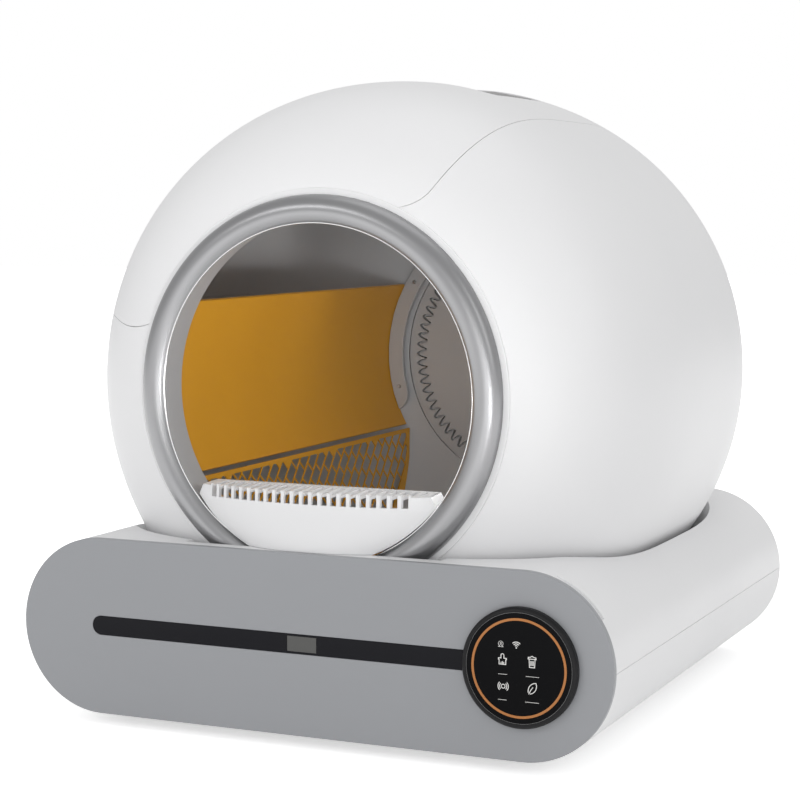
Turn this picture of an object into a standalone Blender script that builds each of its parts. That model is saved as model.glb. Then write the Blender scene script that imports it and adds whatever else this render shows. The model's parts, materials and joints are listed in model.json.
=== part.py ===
# Self cleaning litter box with a rotating globe on a drawer base.
#
# Metres, +Z up, the entrance faces -Y. Inside the script, depth 0 is the front
# of the drawer panel and height 0 is the underside of the base shell. The empty
# called "reference" moves that onto the floor, centred in depth.
# Globe pieces are built about the globe's axis, which runs along Y.

import math

import bmesh
import bpy
from mathutils import Vector

MM = 0.001

# Driving sizes of the whole product
BASE_WIDTH = 520 * MM
BASE_HEIGHT = 147 * MM
BASE_DEPTH = 510.8 * MM
FOOT_HEIGHT = 9 * MM
GLOBE_RADIUS = 257.9 * MM
GLOBE_HALF_DEPTH = 249 * MM
GLOBE_CENTRE_DEPTH = 266.9 * MM
GLOBE_SQUARENESS = 3.57
GLOBE_FLOOR_CLEARANCE = 12.7 * MM
MOUTH_RADIUS = 136.4 * MM
PANEL_THICKNESS = 5 * MM

# Walls and fits shared by the pieces
MESH_GAP = 0.3 * MM
BASE_WALL = 3 * MM
GLOBE_WALL = 3.4 * MM
LINER_GAP = 0.4 * MM
LINER_WALL = 3.7 * MM
POCKET_CLEARANCE = 5.2 * MM
RING_CLEARANCE = 1.2 * MM
CUT_OVERRUN = 5 * MM

# Angles about the globe's axis, from straight up, positive towards the right
SEAM_RIGHT = math.radians(30)
SEAM_LEFT = math.radians(-75)
SEAM_HALF_GAP = math.radians(0.06)
COVER_STEPS = 12
LOWER_STEPS = 28

AXIS_HEIGHT = GLOBE_RADIUS + GLOBE_FLOOR_CLEARANCE
BASE_RADIUS = BASE_HEIGHT / 2
BASE_ARC_X = BASE_WIDTH / 2 - BASE_RADIUS
LINER_INSET = GLOBE_WALL + LINER_GAP
INNER_INSET = LINER_INSET + LINER_WALL
SHELL_START = PANEL_THICKNESS + MESH_GAP
HALF_TURN = math.pi
FULL_TURN = math.tau


def clear_scene():
    for old in list(bpy.data.objects):
        bpy.data.objects.remove(old, do_unlink=True)


def make_material(name, colour, roughness, metallic=0.0):
    material = bpy.data.materials.new(name)
    material.use_nodes = True
    shader = material.node_tree.nodes["Principled BSDF"]
    shader.inputs["Base Color"].default_value = (*colour, 1)
    shader.inputs["Roughness"].default_value = roughness
    shader.inputs["Metallic"].default_value = metallic
    material.diffuse_color = (*colour, 1)
    return material


def make_empty(name, parent, place):
    empty = bpy.data.objects.new(name, None)
    bpy.context.collection.objects.link(empty)
    empty.parent = parent
    empty.location = place
    return empty


def make_piece(name, shape, material, parent, place=(0, 0, 0)):
    """Turn a bmesh into a named object with smooth round sides and crisp edges."""
    bmesh.ops.recalc_face_normals(shape, faces=shape.faces)
    mesh = bpy.data.meshes.new(name)
    shape.to_mesh(mesh)
    shape.free()
    mesh.shade_smooth()
    mesh.set_sharp_from_angle(angle=math.radians(32))
    piece = bpy.data.objects.new(name, mesh)
    bpy.context.collection.objects.link(piece)
    if material:
        mesh.materials.append(material)
    piece.parent = parent
    piece.location = place
    return piece


def make_cutter(name, shape, parent, place=(0, 0, 0)):
    cutter = make_piece(name, shape, None, parent, place)
    cutter.hide_render = True
    cutter.display_type = "WIRE"
    return cutter


def combine(piece, other, operation, solver="EXACT"):
    step = piece.modifiers.new(operation.lower() + "_" + other.name, "BOOLEAN")
    step.operation = operation
    step.solver = solver
    step.object = other


def cut(piece, cutter, solver="EXACT"):
    combine(piece, cutter, "DIFFERENCE", solver)


def prism(outline, start, end, axis="Y"):
    """Extrude a closed outline along an axis. The outline is (x, z), (x, y) or (y, z)."""
    places = {
        "Y": lambda a, b, along: (a, along, b),
        "Z": lambda a, b, along: (a, b, along),
        "X": lambda a, b, along: (along, a, b),
    }
    place = places[axis]
    shape = bmesh.new()
    corners = [shape.verts.new(place(a, b, start)) for a, b in outline]
    face = shape.faces.new(corners)
    grown = bmesh.ops.extrude_face_region(shape, geom=[face])
    moved = [item for item in grown["geom"] if isinstance(item, bmesh.types.BMVert)]
    bmesh.ops.translate(shape, verts=moved, vec=Vector(place(0, 0, end - start)))
    return shape


def turned(profile, steps=48):
    """Spin a closed profile of (radius, depth) points about the Y axis."""
    shape = bmesh.new()
    corners = [shape.verts.new((radius, depth, 0)) for radius, depth in profile]
    edges = [shape.edges.new(pair) for pair in zip(corners, corners[1:] + corners[:1])]
    on_axis = [edge for edge in edges if all(abs(v.co.x) < 1e-9 for v in edge.verts)]
    bmesh.ops.delete(shape, geom=on_axis, context="EDGES")
    bmesh.ops.spin(shape, geom=shape.edges[:] + shape.verts[:], cent=(0, 0, 0), axis=(0, 1, 0),
                   angle=FULL_TURN, steps=steps, use_merge=True)
    bmesh.ops.remove_doubles(shape, verts=shape.verts, dist=1e-6)
    return shape


def box(low, high):
    outline = [(low[0], low[2]), (high[0], low[2]), (high[0], high[2]), (low[0], high[2])]
    return prism(outline, low[1], high[1])


def arc(centre, radius, start, end, steps):
    """Points on an arc, by the angle from the first axis towards the second."""
    return [(centre[0] + radius * math.cos(start + (end - start) * step / steps),
             centre[1] + radius * math.sin(start + (end - start) * step / steps))
            for step in range(steps + 1)]


def around_axis(radius, angle):
    """Point (x, z) at an angle from straight up, positive towards the right."""
    return radius * math.sin(angle), radius * math.cos(angle)


def clipped(points, height, above):
    """Part of a rising run of points above or below a height, cut along its facets."""
    kept = [point for point in points if (point[1] > height) == above]
    for (xa, za), (xb, zb) in zip(points, points[1:]):
        if za < height <= zb:
            share = (height - za) / (zb - za)
            edge = (xa + (xb - xa) * share, height)
            return [edge] + kept if above else kept + [edge]
    return kept


def base_side(radius, low=None, high=None, steps=16):
    """Right-hand side of the base section, rising, between two heights."""
    side = arc((BASE_ARC_X, BASE_RADIUS), radius, -HALF_TURN / 2, HALF_TURN / 2, steps)
    if low is not None:
        side = clipped(side, low, True)
    if high is not None:
        side = clipped(side, high, False)
    return side


def stadium(radius, low=None, high=None, steps=16):
    """Outline of the base section, or the part of it between two heights."""
    right = base_side(radius, low, high, steps)
    return right + [(-x, z) for x, z in reversed(right)]


def rounded_rectangle(half_width, half_height, corner, centre=(0, 0), steps=4):
    quarter = HALF_TURN / 2
    points = []
    for turn, (side, end) in enumerate(((1, 1), (-1, 1), (-1, -1), (1, -1))):
        middle = (centre[0] + side * (half_width - corner), centre[1] + end * (half_height - corner))
        points += arc(middle, corner, turn * quarter, (turn + 1) * quarter, steps)
    return points


# The globe's outline: depths are shares of its half depth, denser at the corner
GLOBE_DEPTH_SHARES = (0.88, 0.74, 0.54, 0.28)


def globe_radius_at(share, inset):
    return (GLOBE_RADIUS - inset) * (1 - abs(share) ** GLOBE_SQUARENESS) ** (1 / GLOBE_SQUARENESS)


def globe_depth_at(radius, inset, side):
    """Depth of the globe's skin at a radius, on the front (-1) or rear (1) side."""
    share = (1 - (radius / (GLOBE_RADIUS - inset)) ** GLOBE_SQUARENESS) ** (1 / GLOBE_SQUARENESS)
    return GLOBE_CENTRE_DEPTH + side * (GLOBE_HALF_DEPTH - inset) * share


def globe_profile(inset, front_radius, rear_radii):
    """(radius, depth) points from the front opening to the rear opening."""
    half_depth = GLOBE_HALF_DEPTH - inset
    points = [(front_radius, globe_depth_at(front_radius, inset, -1))]
    shares = [-share for share in GLOBE_DEPTH_SHARES] + [0] + list(reversed(GLOBE_DEPTH_SHARES))
    points += [(globe_radius_at(share, inset), GLOBE_CENTRE_DEPTH + share * half_depth)
               for share in shares]
    points += [(radius, globe_depth_at(radius, inset, 1)) for radius in rear_radii]
    return points


def profile_depth(profile, radius):
    """Depth of a profile's rear side at a radius, along its straight facets."""
    rear = profile[len(profile) // 2:]
    for (wide, near), (narrow, far) in zip(rear, rear[1:]):
        if narrow <= radius <= wide:
            return near + (far - near) * (wide - radius) / (wide - narrow)
    return rear[-1][1]


POLE_RADIUS_SHARES = (0.35, 0.5, 0.64)


def solid_globe(inset, steps=48):
    """Closed globe, for cutting room round it."""
    radii = [share * (GLOBE_RADIUS - inset) for share in POLE_RADIUS_SHARES]
    front = [(radius, globe_depth_at(radius, inset, -1)) for radius in radii[:-1]]
    profile = front + globe_profile(inset, radii[-1], radii[::-1])
    first, last = profile[0], profile[-1]
    return turned([(0, first[1])] + profile + [(0, last[1])], steps)


# The seams leave their radial line near the entrance and bend towards the cover
SEAM_BEND_RIGHT = math.radians(-6.6)
SEAM_BEND_LEFT = math.radians(5.1)
SEAM_BEND_START_RIGHT = 190 * MM
SEAM_BEND_START_LEFT = 204 * MM
SEAM_BEND_SPAN_RIGHT = 30 * MM
SEAM_BEND_SPAN_LEFT = 45 * MM
SEAM_BEND_LINES = 4
SEAM_BEND_POWER = 2.6


def seam_bend(radius, depth, side):
    """How far a seam turns from its own angle at one point of the front."""
    if depth > GLOBE_CENTRE_DEPTH:
        return 0
    start = SEAM_BEND_START_RIGHT if side > 0 else SEAM_BEND_START_LEFT
    span = SEAM_BEND_SPAN_RIGHT if side > 0 else SEAM_BEND_SPAN_LEFT
    most = SEAM_BEND_RIGHT if side > 0 else SEAM_BEND_LEFT
    share = max(0, (start - radius) / span)
    return most * share ** SEAM_BEND_POWER


def walled_shell(outer, inner, lines, filled, closed):
    """Shell between two skins. lines[k](radius, depth) gives the angle of mesh line k."""
    shape = bmesh.new()
    count = len(lines)

    def skin(profile):
        return [[shape.verts.new((radius * math.sin(line(radius, depth)), depth,
                                  radius * math.cos(line(radius, depth))))
                 for radius, depth in profile] for line in lines]

    skins = (skin(outer), skin(inner))
    last = count if closed else count - 1
    cells = {(k, j) for k in range(last) for j in range(len(outer) - 1) if filled(k, j)}
    for k, j in cells:
        after = (k + 1) % count
        for rows in skins:
            shape.faces.new((rows[k][j], rows[after][j], rows[after][j + 1], rows[k][j + 1]))
        before = (k - 1) % count if closed else k - 1
        following = after if closed else k + 1
        sides = (((before, j), (k, j), (k, j + 1)), ((following, j), (after, j), (after, j + 1)),
                 ((k, j - 1), (k, j), (after, j)), ((k, j + 1), (k, j + 1), (after, j + 1)))
        for neighbour, (ka, ja), (kb, jb) in sides:
            if neighbour not in cells:
                shape.faces.new((skins[0][ka][ja], skins[0][kb][jb],
                                 skins[1][kb][jb], skins[1][ka][ja]))
    bmesh.ops.delete(shape, geom=[v for v in shape.verts if not v.link_faces], context="VERTS")
    return shape


def spaced_lines(start, end, steps, start_side, end_side, gap):
    """Mesh lines from one seam to the other, keeping half the seam's gap at both."""
    def line(index):
        def angle(radius, depth):
            bend = seam_bend(radius, depth, start_side) * max(0, 1 - index / SEAM_BEND_LINES)
            bend += seam_bend(radius, depth, end_side) * max(0, 1 - (steps - index) / SEAM_BEND_LINES)
            return start + gap + (end - start - 2 * gap) * index / steps + bend
        return angle
    return [line(index) for index in range(steps + 1)]


clear_scene()

# Finishes
WHITE = make_material("white_abs", (0.83, 0.83, 0.84), 0.38)
GREY_PANEL = make_material("grey_panel", (0.30, 0.31, 0.33), 0.42)
GREY_INSIDE = make_material("grey_inside", (0.17, 0.18, 0.19), 0.55)
SILVER = make_material("satin_silver", (0.62, 0.62, 0.63), 0.32, 0.8)
AMBER = make_material("amber_sheet", (0.46, 0.23, 0.01), 0.40)
BLACK_GLOSS = make_material("black_gloss", (0.012, 0.012, 0.015), 0.12)
DARK_PLASTIC = make_material("dark_plastic", (0.03, 0.03, 0.035), 0.45)
COPPER = make_material("copper_ring", (0.58, 0.24, 0.08), 0.35, 0.7)
GLASS_GREY = make_material("window_grey", (0.12, 0.12, 0.11), 0.25)
RUBBER = make_material("black_rubber", (0.03, 0.03, 0.03), 0.80)
STEEL = make_material("steel", (0.60, 0.60, 0.60), 0.35, 1.0)
NYLON = make_material("nylon", (0.75, 0.74, 0.70), 0.50)
BOARD = make_material("circuit_board", (0.02, 0.16, 0.07), 0.50)

# Sizes at the back that set the whole depth
GEAR_MODULE = 3 * MM
GEAR_TEETH = 76
PINION_TEETH = 13
GEAR_FACE_WIDTH = 13.3 * MM
FLANGE_THICKNESS = 3.5 * MM
FLANGE_RADIUS = 136 * MM
HUB_RADIUS = 129 * MM
GEARBOX_DEPTH = 21.9 * MM
COVER_WALL = 2.5 * MM
DISPLAY_STAND_OUT = 6.5 * MM

FLANGE_START = globe_depth_at(HUB_RADIUS, 0, 1) + MESH_GAP
GEAR_REAR_START = FLANGE_START + FLANGE_THICKNESS
GEAR_END = GEAR_REAR_START + GEAR_FACE_WIDTH
GEARBOX_START = GEAR_END + RING_CLEARANCE
REAR_COVER_INSIDE = GEARBOX_START + GEARBOX_DEPTH + MESH_GAP
REAR_COVER_END = REAR_COVER_INSIDE + COVER_WALL

MIDDLE_DEPTH = (REAR_COVER_END - DISPLAY_STAND_OUT) / 2
reference = make_empty("reference", None, (0, -MIDDLE_DEPTH, FOOT_HEIGHT))
drum_axis = make_empty("drum_axis", reference, (0, 0, AXIS_HEIGHT))
drawer = make_empty("drawer", reference, (0, 0, 0))

# Globe shells and liners. The cover is the part between the seams; the rest,
# with a full hub at the back, stays as one lower shell. Liners follow inside.
COLLAR_RADIUS = 163.8 * MM
COLLAR_FACET_GAP = 1 * MM
HUB_OUTER_RADIUS = COLLAR_RADIUS + COLLAR_FACET_GAP
cover_lines = spaced_lines(SEAM_LEFT, SEAM_RIGHT, COVER_STEPS, -1, 1, SEAM_HALF_GAP)
lower_lines = spaced_lines(SEAM_RIGHT, SEAM_LEFT + FULL_TURN, LOWER_STEPS, 1, -1, SEAM_HALF_GAP)
hub_lines = [lambda radius, depth, index=index:
             SEAM_LEFT + (SEAM_RIGHT - SEAM_LEFT) * index / COVER_STEPS
             for index in range(1, COVER_STEPS)]


def globe_pair(lower_name, cover_name, outer_inset, inner_inset, material):
    """One skin layer of the globe, as its fixed part and its lift-off part."""
    outer = globe_profile(outer_inset, HUB_OUTER_RADIUS, [HUB_OUTER_RADIUS, HUB_RADIUS])
    inner = globe_profile(inner_inset, HUB_OUTER_RADIUS, [HUB_OUTER_RADIUS, HUB_RADIUS])
    hub_cell = len(outer) - 2
    ring_lines = lower_lines + hub_lines

    def in_lower(k, j):
        return k < LOWER_STEPS or j == hub_cell

    lower = walled_shell(outer, inner, ring_lines, in_lower, True)
    make_piece(lower_name, lower, material, drum_axis)
    edge = HUB_OUTER_RADIUS + 2 * MESH_GAP
    outer = globe_profile(outer_inset, HUB_OUTER_RADIUS, [edge])
    inner = globe_profile(inner_inset, HUB_OUTER_RADIUS, [edge])
    cover = walled_shell(outer, inner, cover_lines, lambda k, j: True, False)
    return make_piece(cover_name, cover, material, drum_axis)


globe_cover = globe_pair("globe_lower_shell", "globe_cover", 0, GLOBE_WALL, WHITE)
cover_liner = globe_pair("drum_liner", "cover_liner", LINER_INSET, INNER_INSET, GREY_INSIDE)
inner_profile = globe_profile(INNER_INSET, HUB_OUTER_RADIUS, [HUB_OUTER_RADIUS, HUB_RADIUS])

# Waste port in the top of the cover, with the grey frame that lines it
PORT_HALF_WIDTH = 81.5 * MM
PORT_HALF_DEPTH = 64 * MM
PORT_CORNER = 15 * MM
PORT_FRAME_WALL = 2.4 * MM
PORT_FRAME_INSET = 1.2 * MM
PORT_FRAME_REACH = 3 * MM
PORT_LOW_SHARE = 0.8


def port_outline(inset):
    return rounded_rectangle(PORT_HALF_WIDTH - inset, PORT_HALF_DEPTH - inset,
                             PORT_CORNER - inset, (0, GLOBE_CENTRE_DEPTH))


def port_prism(inset, overrun):
    low = GLOBE_RADIUS * PORT_LOW_SHARE - overrun
    return prism(port_outline(inset), low, GLOBE_RADIUS + overrun, "Z")


port_cutter = make_cutter("port_cutter", port_prism(0, CUT_OVERRUN), drum_axis)
cut(globe_cover, port_cutter)
cut(cover_liner, port_cutter)

port_frame = make_piece("port_frame", port_prism(MESH_GAP, 0), GREY_INSIDE, drum_axis)
frame_hole = make_cutter("frame_hole", port_prism(PORT_FRAME_WALL, CUT_OVERRUN), drum_axis)
frame_zone_outer = globe_profile(PORT_FRAME_INSET, HUB_OUTER_RADIUS, [HUB_OUTER_RADIUS])
frame_zone_inner = globe_profile(INNER_INSET + PORT_FRAME_REACH, HUB_OUTER_RADIUS, [HUB_OUTER_RADIUS])
frame_zone = make_cutter("frame_zone", turned(frame_zone_outer + frame_zone_inner[::-1]), drum_axis)
combine(port_frame, frame_zone, "INTERSECT")
cut(port_frame, frame_hole)

# Entrance: silver ring in front, white collar that carries it, grey throat behind
RING_OUTER_RADIUS = 158.8 * MM
RING_INNER_START = 23.4 * MM
RING_SAGITTA = 8.5 * MM
RING_EDGE_THICKNESS = 1.4 * MM
RING_SEAT_RADIUS = 141.2 * MM
COLLAR_THICKNESS = 7.6 * MM
COLLAR_STAND_OUT = 1 * MM
LIP_WALL = 3 * MM
LIP_END_RADIUS = 144 * MM
LIP_END = 65 * MM
collar_start = globe_depth_at(COLLAR_RADIUS, 0, -1) - COLLAR_STAND_OUT


def bulged(start, end, sagitta, steps):
    """Points on the arc between two points, bulging to the left of the way from start to end."""
    along = Vector((end[0] - start[0], end[1] - start[1]))
    half = along.length / 2
    radius = (half * half + sagitta * sagitta) / (2 * sagitta)
    side = Vector((along.y, -along.x)).normalized()
    centre = Vector(start) + along / 2 - side * (radius - sagitta)
    first = math.atan2(start[1] - centre.y, start[0] - centre.x)
    sweep = 2 * math.asin(min(1, half / radius))
    if sagitta > radius:
        sweep = FULL_TURN - sweep
    return arc(centre, radius, first, first + sweep, steps)


ring_front = bulged((MOUTH_RADIUS, RING_INNER_START), (RING_OUTER_RADIUS, collar_start - MESH_GAP * 2),
                    RING_SAGITTA, 6)
ring_back = [(RING_OUTER_RADIUS, collar_start - MESH_GAP), (RING_SEAT_RADIUS, collar_start - MESH_GAP),
             (RING_SEAT_RADIUS, RING_INNER_START + RING_EDGE_THICKNESS),
             (MOUTH_RADIUS, RING_INNER_START + RING_EDGE_THICKNESS)]
make_piece("mouth_ring", turned(ring_front + ring_back), SILVER, drum_axis)

lip_start = RING_INNER_START + RING_EDGE_THICKNESS + MESH_GAP
lip_profile = [(MOUTH_RADIUS, lip_start), (LIP_END_RADIUS, LIP_END),
               (LIP_END_RADIUS + LIP_WALL, LIP_END), (MOUTH_RADIUS + LIP_WALL, lip_start)]
make_piece("mouth_lip", turned(lip_profile, 40), GREY_INSIDE, drum_axis)


def lip_outside(depth):
    share = (depth - lip_start) / (LIP_END - lip_start)
    return MOUTH_RADIUS + LIP_WALL + (LIP_END_RADIUS - MOUTH_RADIUS) * share


collar_end = collar_start + COLLAR_THICKNESS
collar_profile = [(lip_outside(collar_start) + MESH_GAP, collar_start), (COLLAR_RADIUS, collar_start),
                  (COLLAR_RADIUS, collar_end), (lip_outside(collar_end) + MESH_GAP, collar_end)]
make_piece("mouth_collar", turned(collar_profile, 40), WHITE, drum_axis)

# Amber sheet that turns the litter over, held between the throat and the back wall
SHEET_THICKNESS = 3 * MM
SHEET_TOP = math.radians(-61.5)
SHEET_BOTTOM = math.radians(-119.5)
SHEET_END_GAP = 0.5 * MM
sheet_inner = LIP_END_RADIUS + LIP_WALL + MESH_GAP
sheet_outer = sheet_inner + SHEET_THICKNESS
sheet_start = collar_end + MESH_GAP
sheet_end = profile_depth(inner_profile, sheet_outer) - SHEET_END_GAP


def sector(inner, outer, start, end, steps):
    """Closed (x, z) outline between two radii and two angles."""
    angles = [start + (end - start) * step / steps for step in range(steps + 1)]
    return ([around_axis(outer, angle) for angle in angles]
            + [around_axis(inner, angle) for angle in reversed(angles)])


sheet = prism(sector(sheet_inner, sheet_outer, SHEET_BOTTOM, SHEET_TOP, 12), sheet_start, sheet_end)
make_piece("litter_liner", sheet, AMBER, drum_axis)

# Amber sifting screen: an upright lattice whose edge follows the globe's inside
SCREEN_FACE_X = -123 * MM
SCREEN_THICKNESS = 3 * MM
SCREEN_TOP = -76.1 * MM
SCREEN_RIM = 5 * MM
SCREEN_LOW_RIM = 52 * MM
CELL_PITCH = 18.75 * MM
CELL_HALF = 7.5 * MM
screen_back_x = SCREEN_FACE_X - SCREEN_THICKNESS


def screen_floor(radius, x=screen_back_x):
    return -math.sqrt(max(0, radius * radius - x * x))


def screen_outline(rim, low_rim=0):
    """(depth, height) outline of the screen, drawn in by its rims."""
    gap = rim + MESH_GAP * 2
    lip_bottom = screen_floor(LIP_END_RADIUS + LIP_WALL + gap, SCREEN_FACE_X)
    top = SCREEN_TOP - rim
    points = [(LIP_END + gap, top), (LIP_END + gap, lip_bottom), (collar_end + gap, lip_bottom)]
    for radius, depth in inner_profile:
        height = screen_floor(radius - gap) + low_rim
        if height < lip_bottom - CELL_PITCH and collar_end + 2 * gap < depth:
            points.append((depth, height))
    end = profile_depth(inner_profile, HUB_OUTER_RADIUS) - gap
    points = [(min(depth, end), height) for depth, height in points]
    points.append((end, top))
    return points


screen = make_piece("sifting_screen", prism(screen_outline(0), screen_back_x, SCREEN_FACE_X, "X"),
                    AMBER, drum_axis)


def lattice():
    """All the diamond cells of the screen as one cutter, in staggered rows."""
    shape = bmesh.new()
    rows = int(-2 * screen_floor(GLOBE_RADIUS) / CELL_PITCH)
    columns = int(2 * GLOBE_HALF_DEPTH / CELL_PITCH)
    for row in range(rows):
        for column in range(columns):
            middle = LIP_END + CELL_PITCH * (column + 0.5 * (row % 2))
            height = SCREEN_TOP - SCREEN_RIM - CELL_PITCH * row / 2
            cell = [(middle - CELL_HALF, height), (middle, height - CELL_HALF),
                    (middle + CELL_HALF, height), (middle, height + CELL_HALF)]
            shape.faces.new([shape.verts.new((screen_back_x - CUT_OVERRUN, a, b)) for a, b in cell])
    grown = bmesh.ops.extrude_face_region(shape, geom=shape.faces[:])
    moved = [item for item in grown["geom"] if isinstance(item, bmesh.types.BMVert)]
    reach = Vector((SCREEN_THICKNESS + 2 * CUT_OVERRUN, 0, 0))
    bmesh.ops.translate(shape, verts=moved, vec=reach)
    return shape


cells = make_cutter("screen_cells", lattice(), drum_axis)
cell_zone = prism(screen_outline(SCREEN_RIM, SCREEN_LOW_RIM), screen_back_x - CUT_OVERRUN * 2,
                  SCREEN_FACE_X + CUT_OVERRUN * 2, "X")
combine(cells, make_cutter("cell_zone", cell_zone, drum_axis), "INTERSECT")
cut(screen, cells)

# Grey bracket on the back wall that clamps the sheet's rear edge, and its rivets
CLAMP_INNER_RADIUS = 131.2 * MM
CLAMP_THICKNESS = 5 * MM
CLAMP_TOP = math.radians(-48)
CLAMP_BOTTOM = math.radians(-113)
CLAMP_ROUND = math.radians(7)
CLAMP_STEPS = 10
RIVET_RADIUS = 2.2 * MM
RIVET_CROWN_RADIUS = 1.3 * MM
RIVET_HEIGHT = 1.4 * MM
RIVET_ANGLES = (math.radians(-58), math.radians(-104))
clamp_outer = sheet_inner - MESH_GAP
clamp_width = clamp_outer - CLAMP_INNER_RADIUS
clamp_end = profile_depth(inner_profile, clamp_outer) - MESH_GAP * 2
clamp_start = clamp_end - CLAMP_THICKNESS


def clamp_outline():
    """A band along the sheet's edge whose inner side rounds outwards at the lower end."""
    straight_end = CLAMP_BOTTOM + CLAMP_ROUND
    outer = [around_axis(clamp_outer, CLAMP_BOTTOM + (CLAMP_TOP - CLAMP_BOTTOM) * step / CLAMP_STEPS)
             for step in range(CLAMP_STEPS + 1)]
    inner = [around_axis(CLAMP_INNER_RADIUS, CLAMP_TOP + (straight_end - CLAMP_TOP) * step / CLAMP_STEPS)
             for step in range(CLAMP_STEPS + 1)]
    turns = [HALF_TURN / 2 * step / 5 for step in range(1, 5)]
    end = [around_axis(clamp_outer - clamp_width * math.cos(turn), straight_end - CLAMP_ROUND * math.sin(turn))
           for turn in turns]
    return outer + inner + end


make_piece("liner_clamp", prism(clamp_outline(), clamp_start, clamp_end), GREY_INSIDE, drum_axis)

for number, angle in enumerate(RIVET_ANGLES, 1):
    x, z = around_axis((CLAMP_INNER_RADIUS + clamp_outer) / 2, angle)
    rivet_profile = [(0, clamp_start - MESH_GAP), (RIVET_RADIUS, clamp_start - MESH_GAP),
                     (RIVET_CROWN_RADIUS, clamp_start - RIVET_HEIGHT), (0, clamp_start - RIVET_HEIGHT)]
    make_piece(f"liner_rivet_{number}", turned(rivet_profile, 8), STEEL, drum_axis, (x, 0, z))

# Drive gear: one moulding, seen from inside as the toothed disc in the back wall.
# Its flange seats on the globe's hub and its rear teeth meet the pinion.
TOOTH_ADDENDUM_SHARE = 0.92
TOOTH_DEDENDUM_SHARE = 1.2
DRIVE_TOOTH_SHARE = 0.46
WAVE_HEIGHT = 8.2 * MM
GEAR_WEB = 4 * MM
GEAR_RIM = 14 * MM
TRIM_GROOVE = 3.6 * MM
TRIM_FACET_GAP = 0.9 * MM
TRIM_RADIUS = HUB_RADIUS - TRIM_FACET_GAP
PRESSURE_ANGLE = math.radians(25)
gear_pitch_radius = GEAR_MODULE * GEAR_TEETH / 2
pinion_pitch_radius = GEAR_MODULE * PINION_TEETH / 2
gear_front = profile_depth(inner_profile, HUB_RADIUS)


def wave_outline(teeth, offset=0):
    """Wavy edge that shows inside: one crest and one dip for each tooth."""
    pitch_radius = GEAR_MODULE * teeth / 2
    crest = pitch_radius + WAVE_HEIGHT / 2 + offset
    dip = pitch_radius - WAVE_HEIGHT / 2 + offset
    return [around_axis(crest if step % 2 == 0 else dip, HALF_TURN * step / teeth)
            for step in range(2 * teeth)]


def gear_outline(teeth, tooth_share, phase):
    """Toothed outline. Each tooth has straight flanks through its pitch point."""
    pitch_radius = GEAR_MODULE * teeth / 2
    tip = pitch_radius + GEAR_MODULE * TOOTH_ADDENDUM_SHARE
    root = pitch_radius - GEAR_MODULE * TOOTH_DEDENDUM_SHARE
    half_tooth = HALF_TURN * tooth_share / teeth
    lean = math.tan(PRESSURE_ANGLE) / pitch_radius
    at_tip = half_tooth - lean * GEAR_MODULE * TOOTH_ADDENDUM_SHARE
    at_root = half_tooth + lean * GEAR_MODULE * TOOTH_DEDENDUM_SHARE
    points = []
    for tooth in range(teeth):
        middle = phase + FULL_TURN * tooth / teeth
        points += [around_axis(root, middle - at_root), around_axis(tip, middle - at_tip),
                   around_axis(tip, middle + at_tip), around_axis(root, middle + at_root)]
    return points


def disc(radius, start, end, steps=48):
    return prism([around_axis(radius, FULL_TURN * step / steps) for step in range(steps)], start, end)


drive_gear = make_piece("drive_gear", prism(wave_outline(GEAR_TEETH),
                                            gear_front, FLANGE_START + FLANGE_THICKNESS / 2),
                        GREY_INSIDE, drum_axis)
gear_flange = make_cutter("gear_flange", disc(FLANGE_RADIUS, FLANGE_START, GEAR_REAR_START), drum_axis)
gear_rear = make_cutter("gear_rear", prism(gear_outline(GEAR_TEETH, DRIVE_TOOTH_SHARE, 0),
                                           FLANGE_START + FLANGE_THICKNESS / 2, GEAR_END), drum_axis)
combine(drive_gear, gear_flange, "UNION")
combine(drive_gear, gear_rear, "UNION")
gear_recess = disc(gear_pitch_radius - GEAR_RIM, gear_front + GEAR_WEB, GEAR_END + CUT_OVERRUN, 40)
cut(drive_gear, make_cutter("gear_recess", gear_recess, drum_axis))

trim_ring = make_piece("gear_trim_ring", disc(TRIM_RADIUS, gear_front, FLANGE_START - MESH_GAP),
                       GREY_INSIDE, drum_axis)
trim_teeth = prism(wave_outline(GEAR_TEETH, TRIM_GROOVE),
                   gear_front - CUT_OVERRUN, GEAR_END)
cut(trim_ring, make_cutter("trim_teeth", trim_teeth, drum_axis))

SCREW_COUNT = 6
SCREW_HEAD_RADIUS = 3 * MM
SCREW_HEAD_HEIGHT = 2 * MM
screw_circle = (HUB_RADIUS + FLANGE_RADIUS) / 2
for number in range(SCREW_COUNT):
    x, z = around_axis(screw_circle, FULL_TURN * (number + 0.5) / SCREW_COUNT)
    head = GEAR_REAR_START + MESH_GAP
    head_profile = [(0, head), (SCREW_HEAD_RADIUS, head), (SCREW_HEAD_RADIUS, head + SCREW_HEAD_HEIGHT / 2),
                    (SCREW_HEAD_RADIUS / 2, head + SCREW_HEAD_HEIGHT), (0, head + SCREW_HEAD_HEIGHT)]
    make_piece(f"gear_screw_{number + 1}", turned(head_profile, 8), STEEL, drum_axis, (x, 0, z))

# Base shells. The pocket is the globe grown by its running clearance, with a
# skirt round it, and a step in front where the ring and collar turn.
LEDGE_DEPTH = 16.4 * MM
LEDGE_WALL = 2.5 * MM
FRONT_WALL = 4.2 * MM
SKIRT_WALL = 2.4 * MM
SKIRT_LOW = 120 * MM
FRONT_WALL_LOW = 84.5 * MM
RING_POCKET_DEPTH = 60 * MM
RING_POCKET_GAP = 4.2 * MM
ring_pocket_radius = COLLAR_RADIUS + RING_POCKET_GAP

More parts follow.
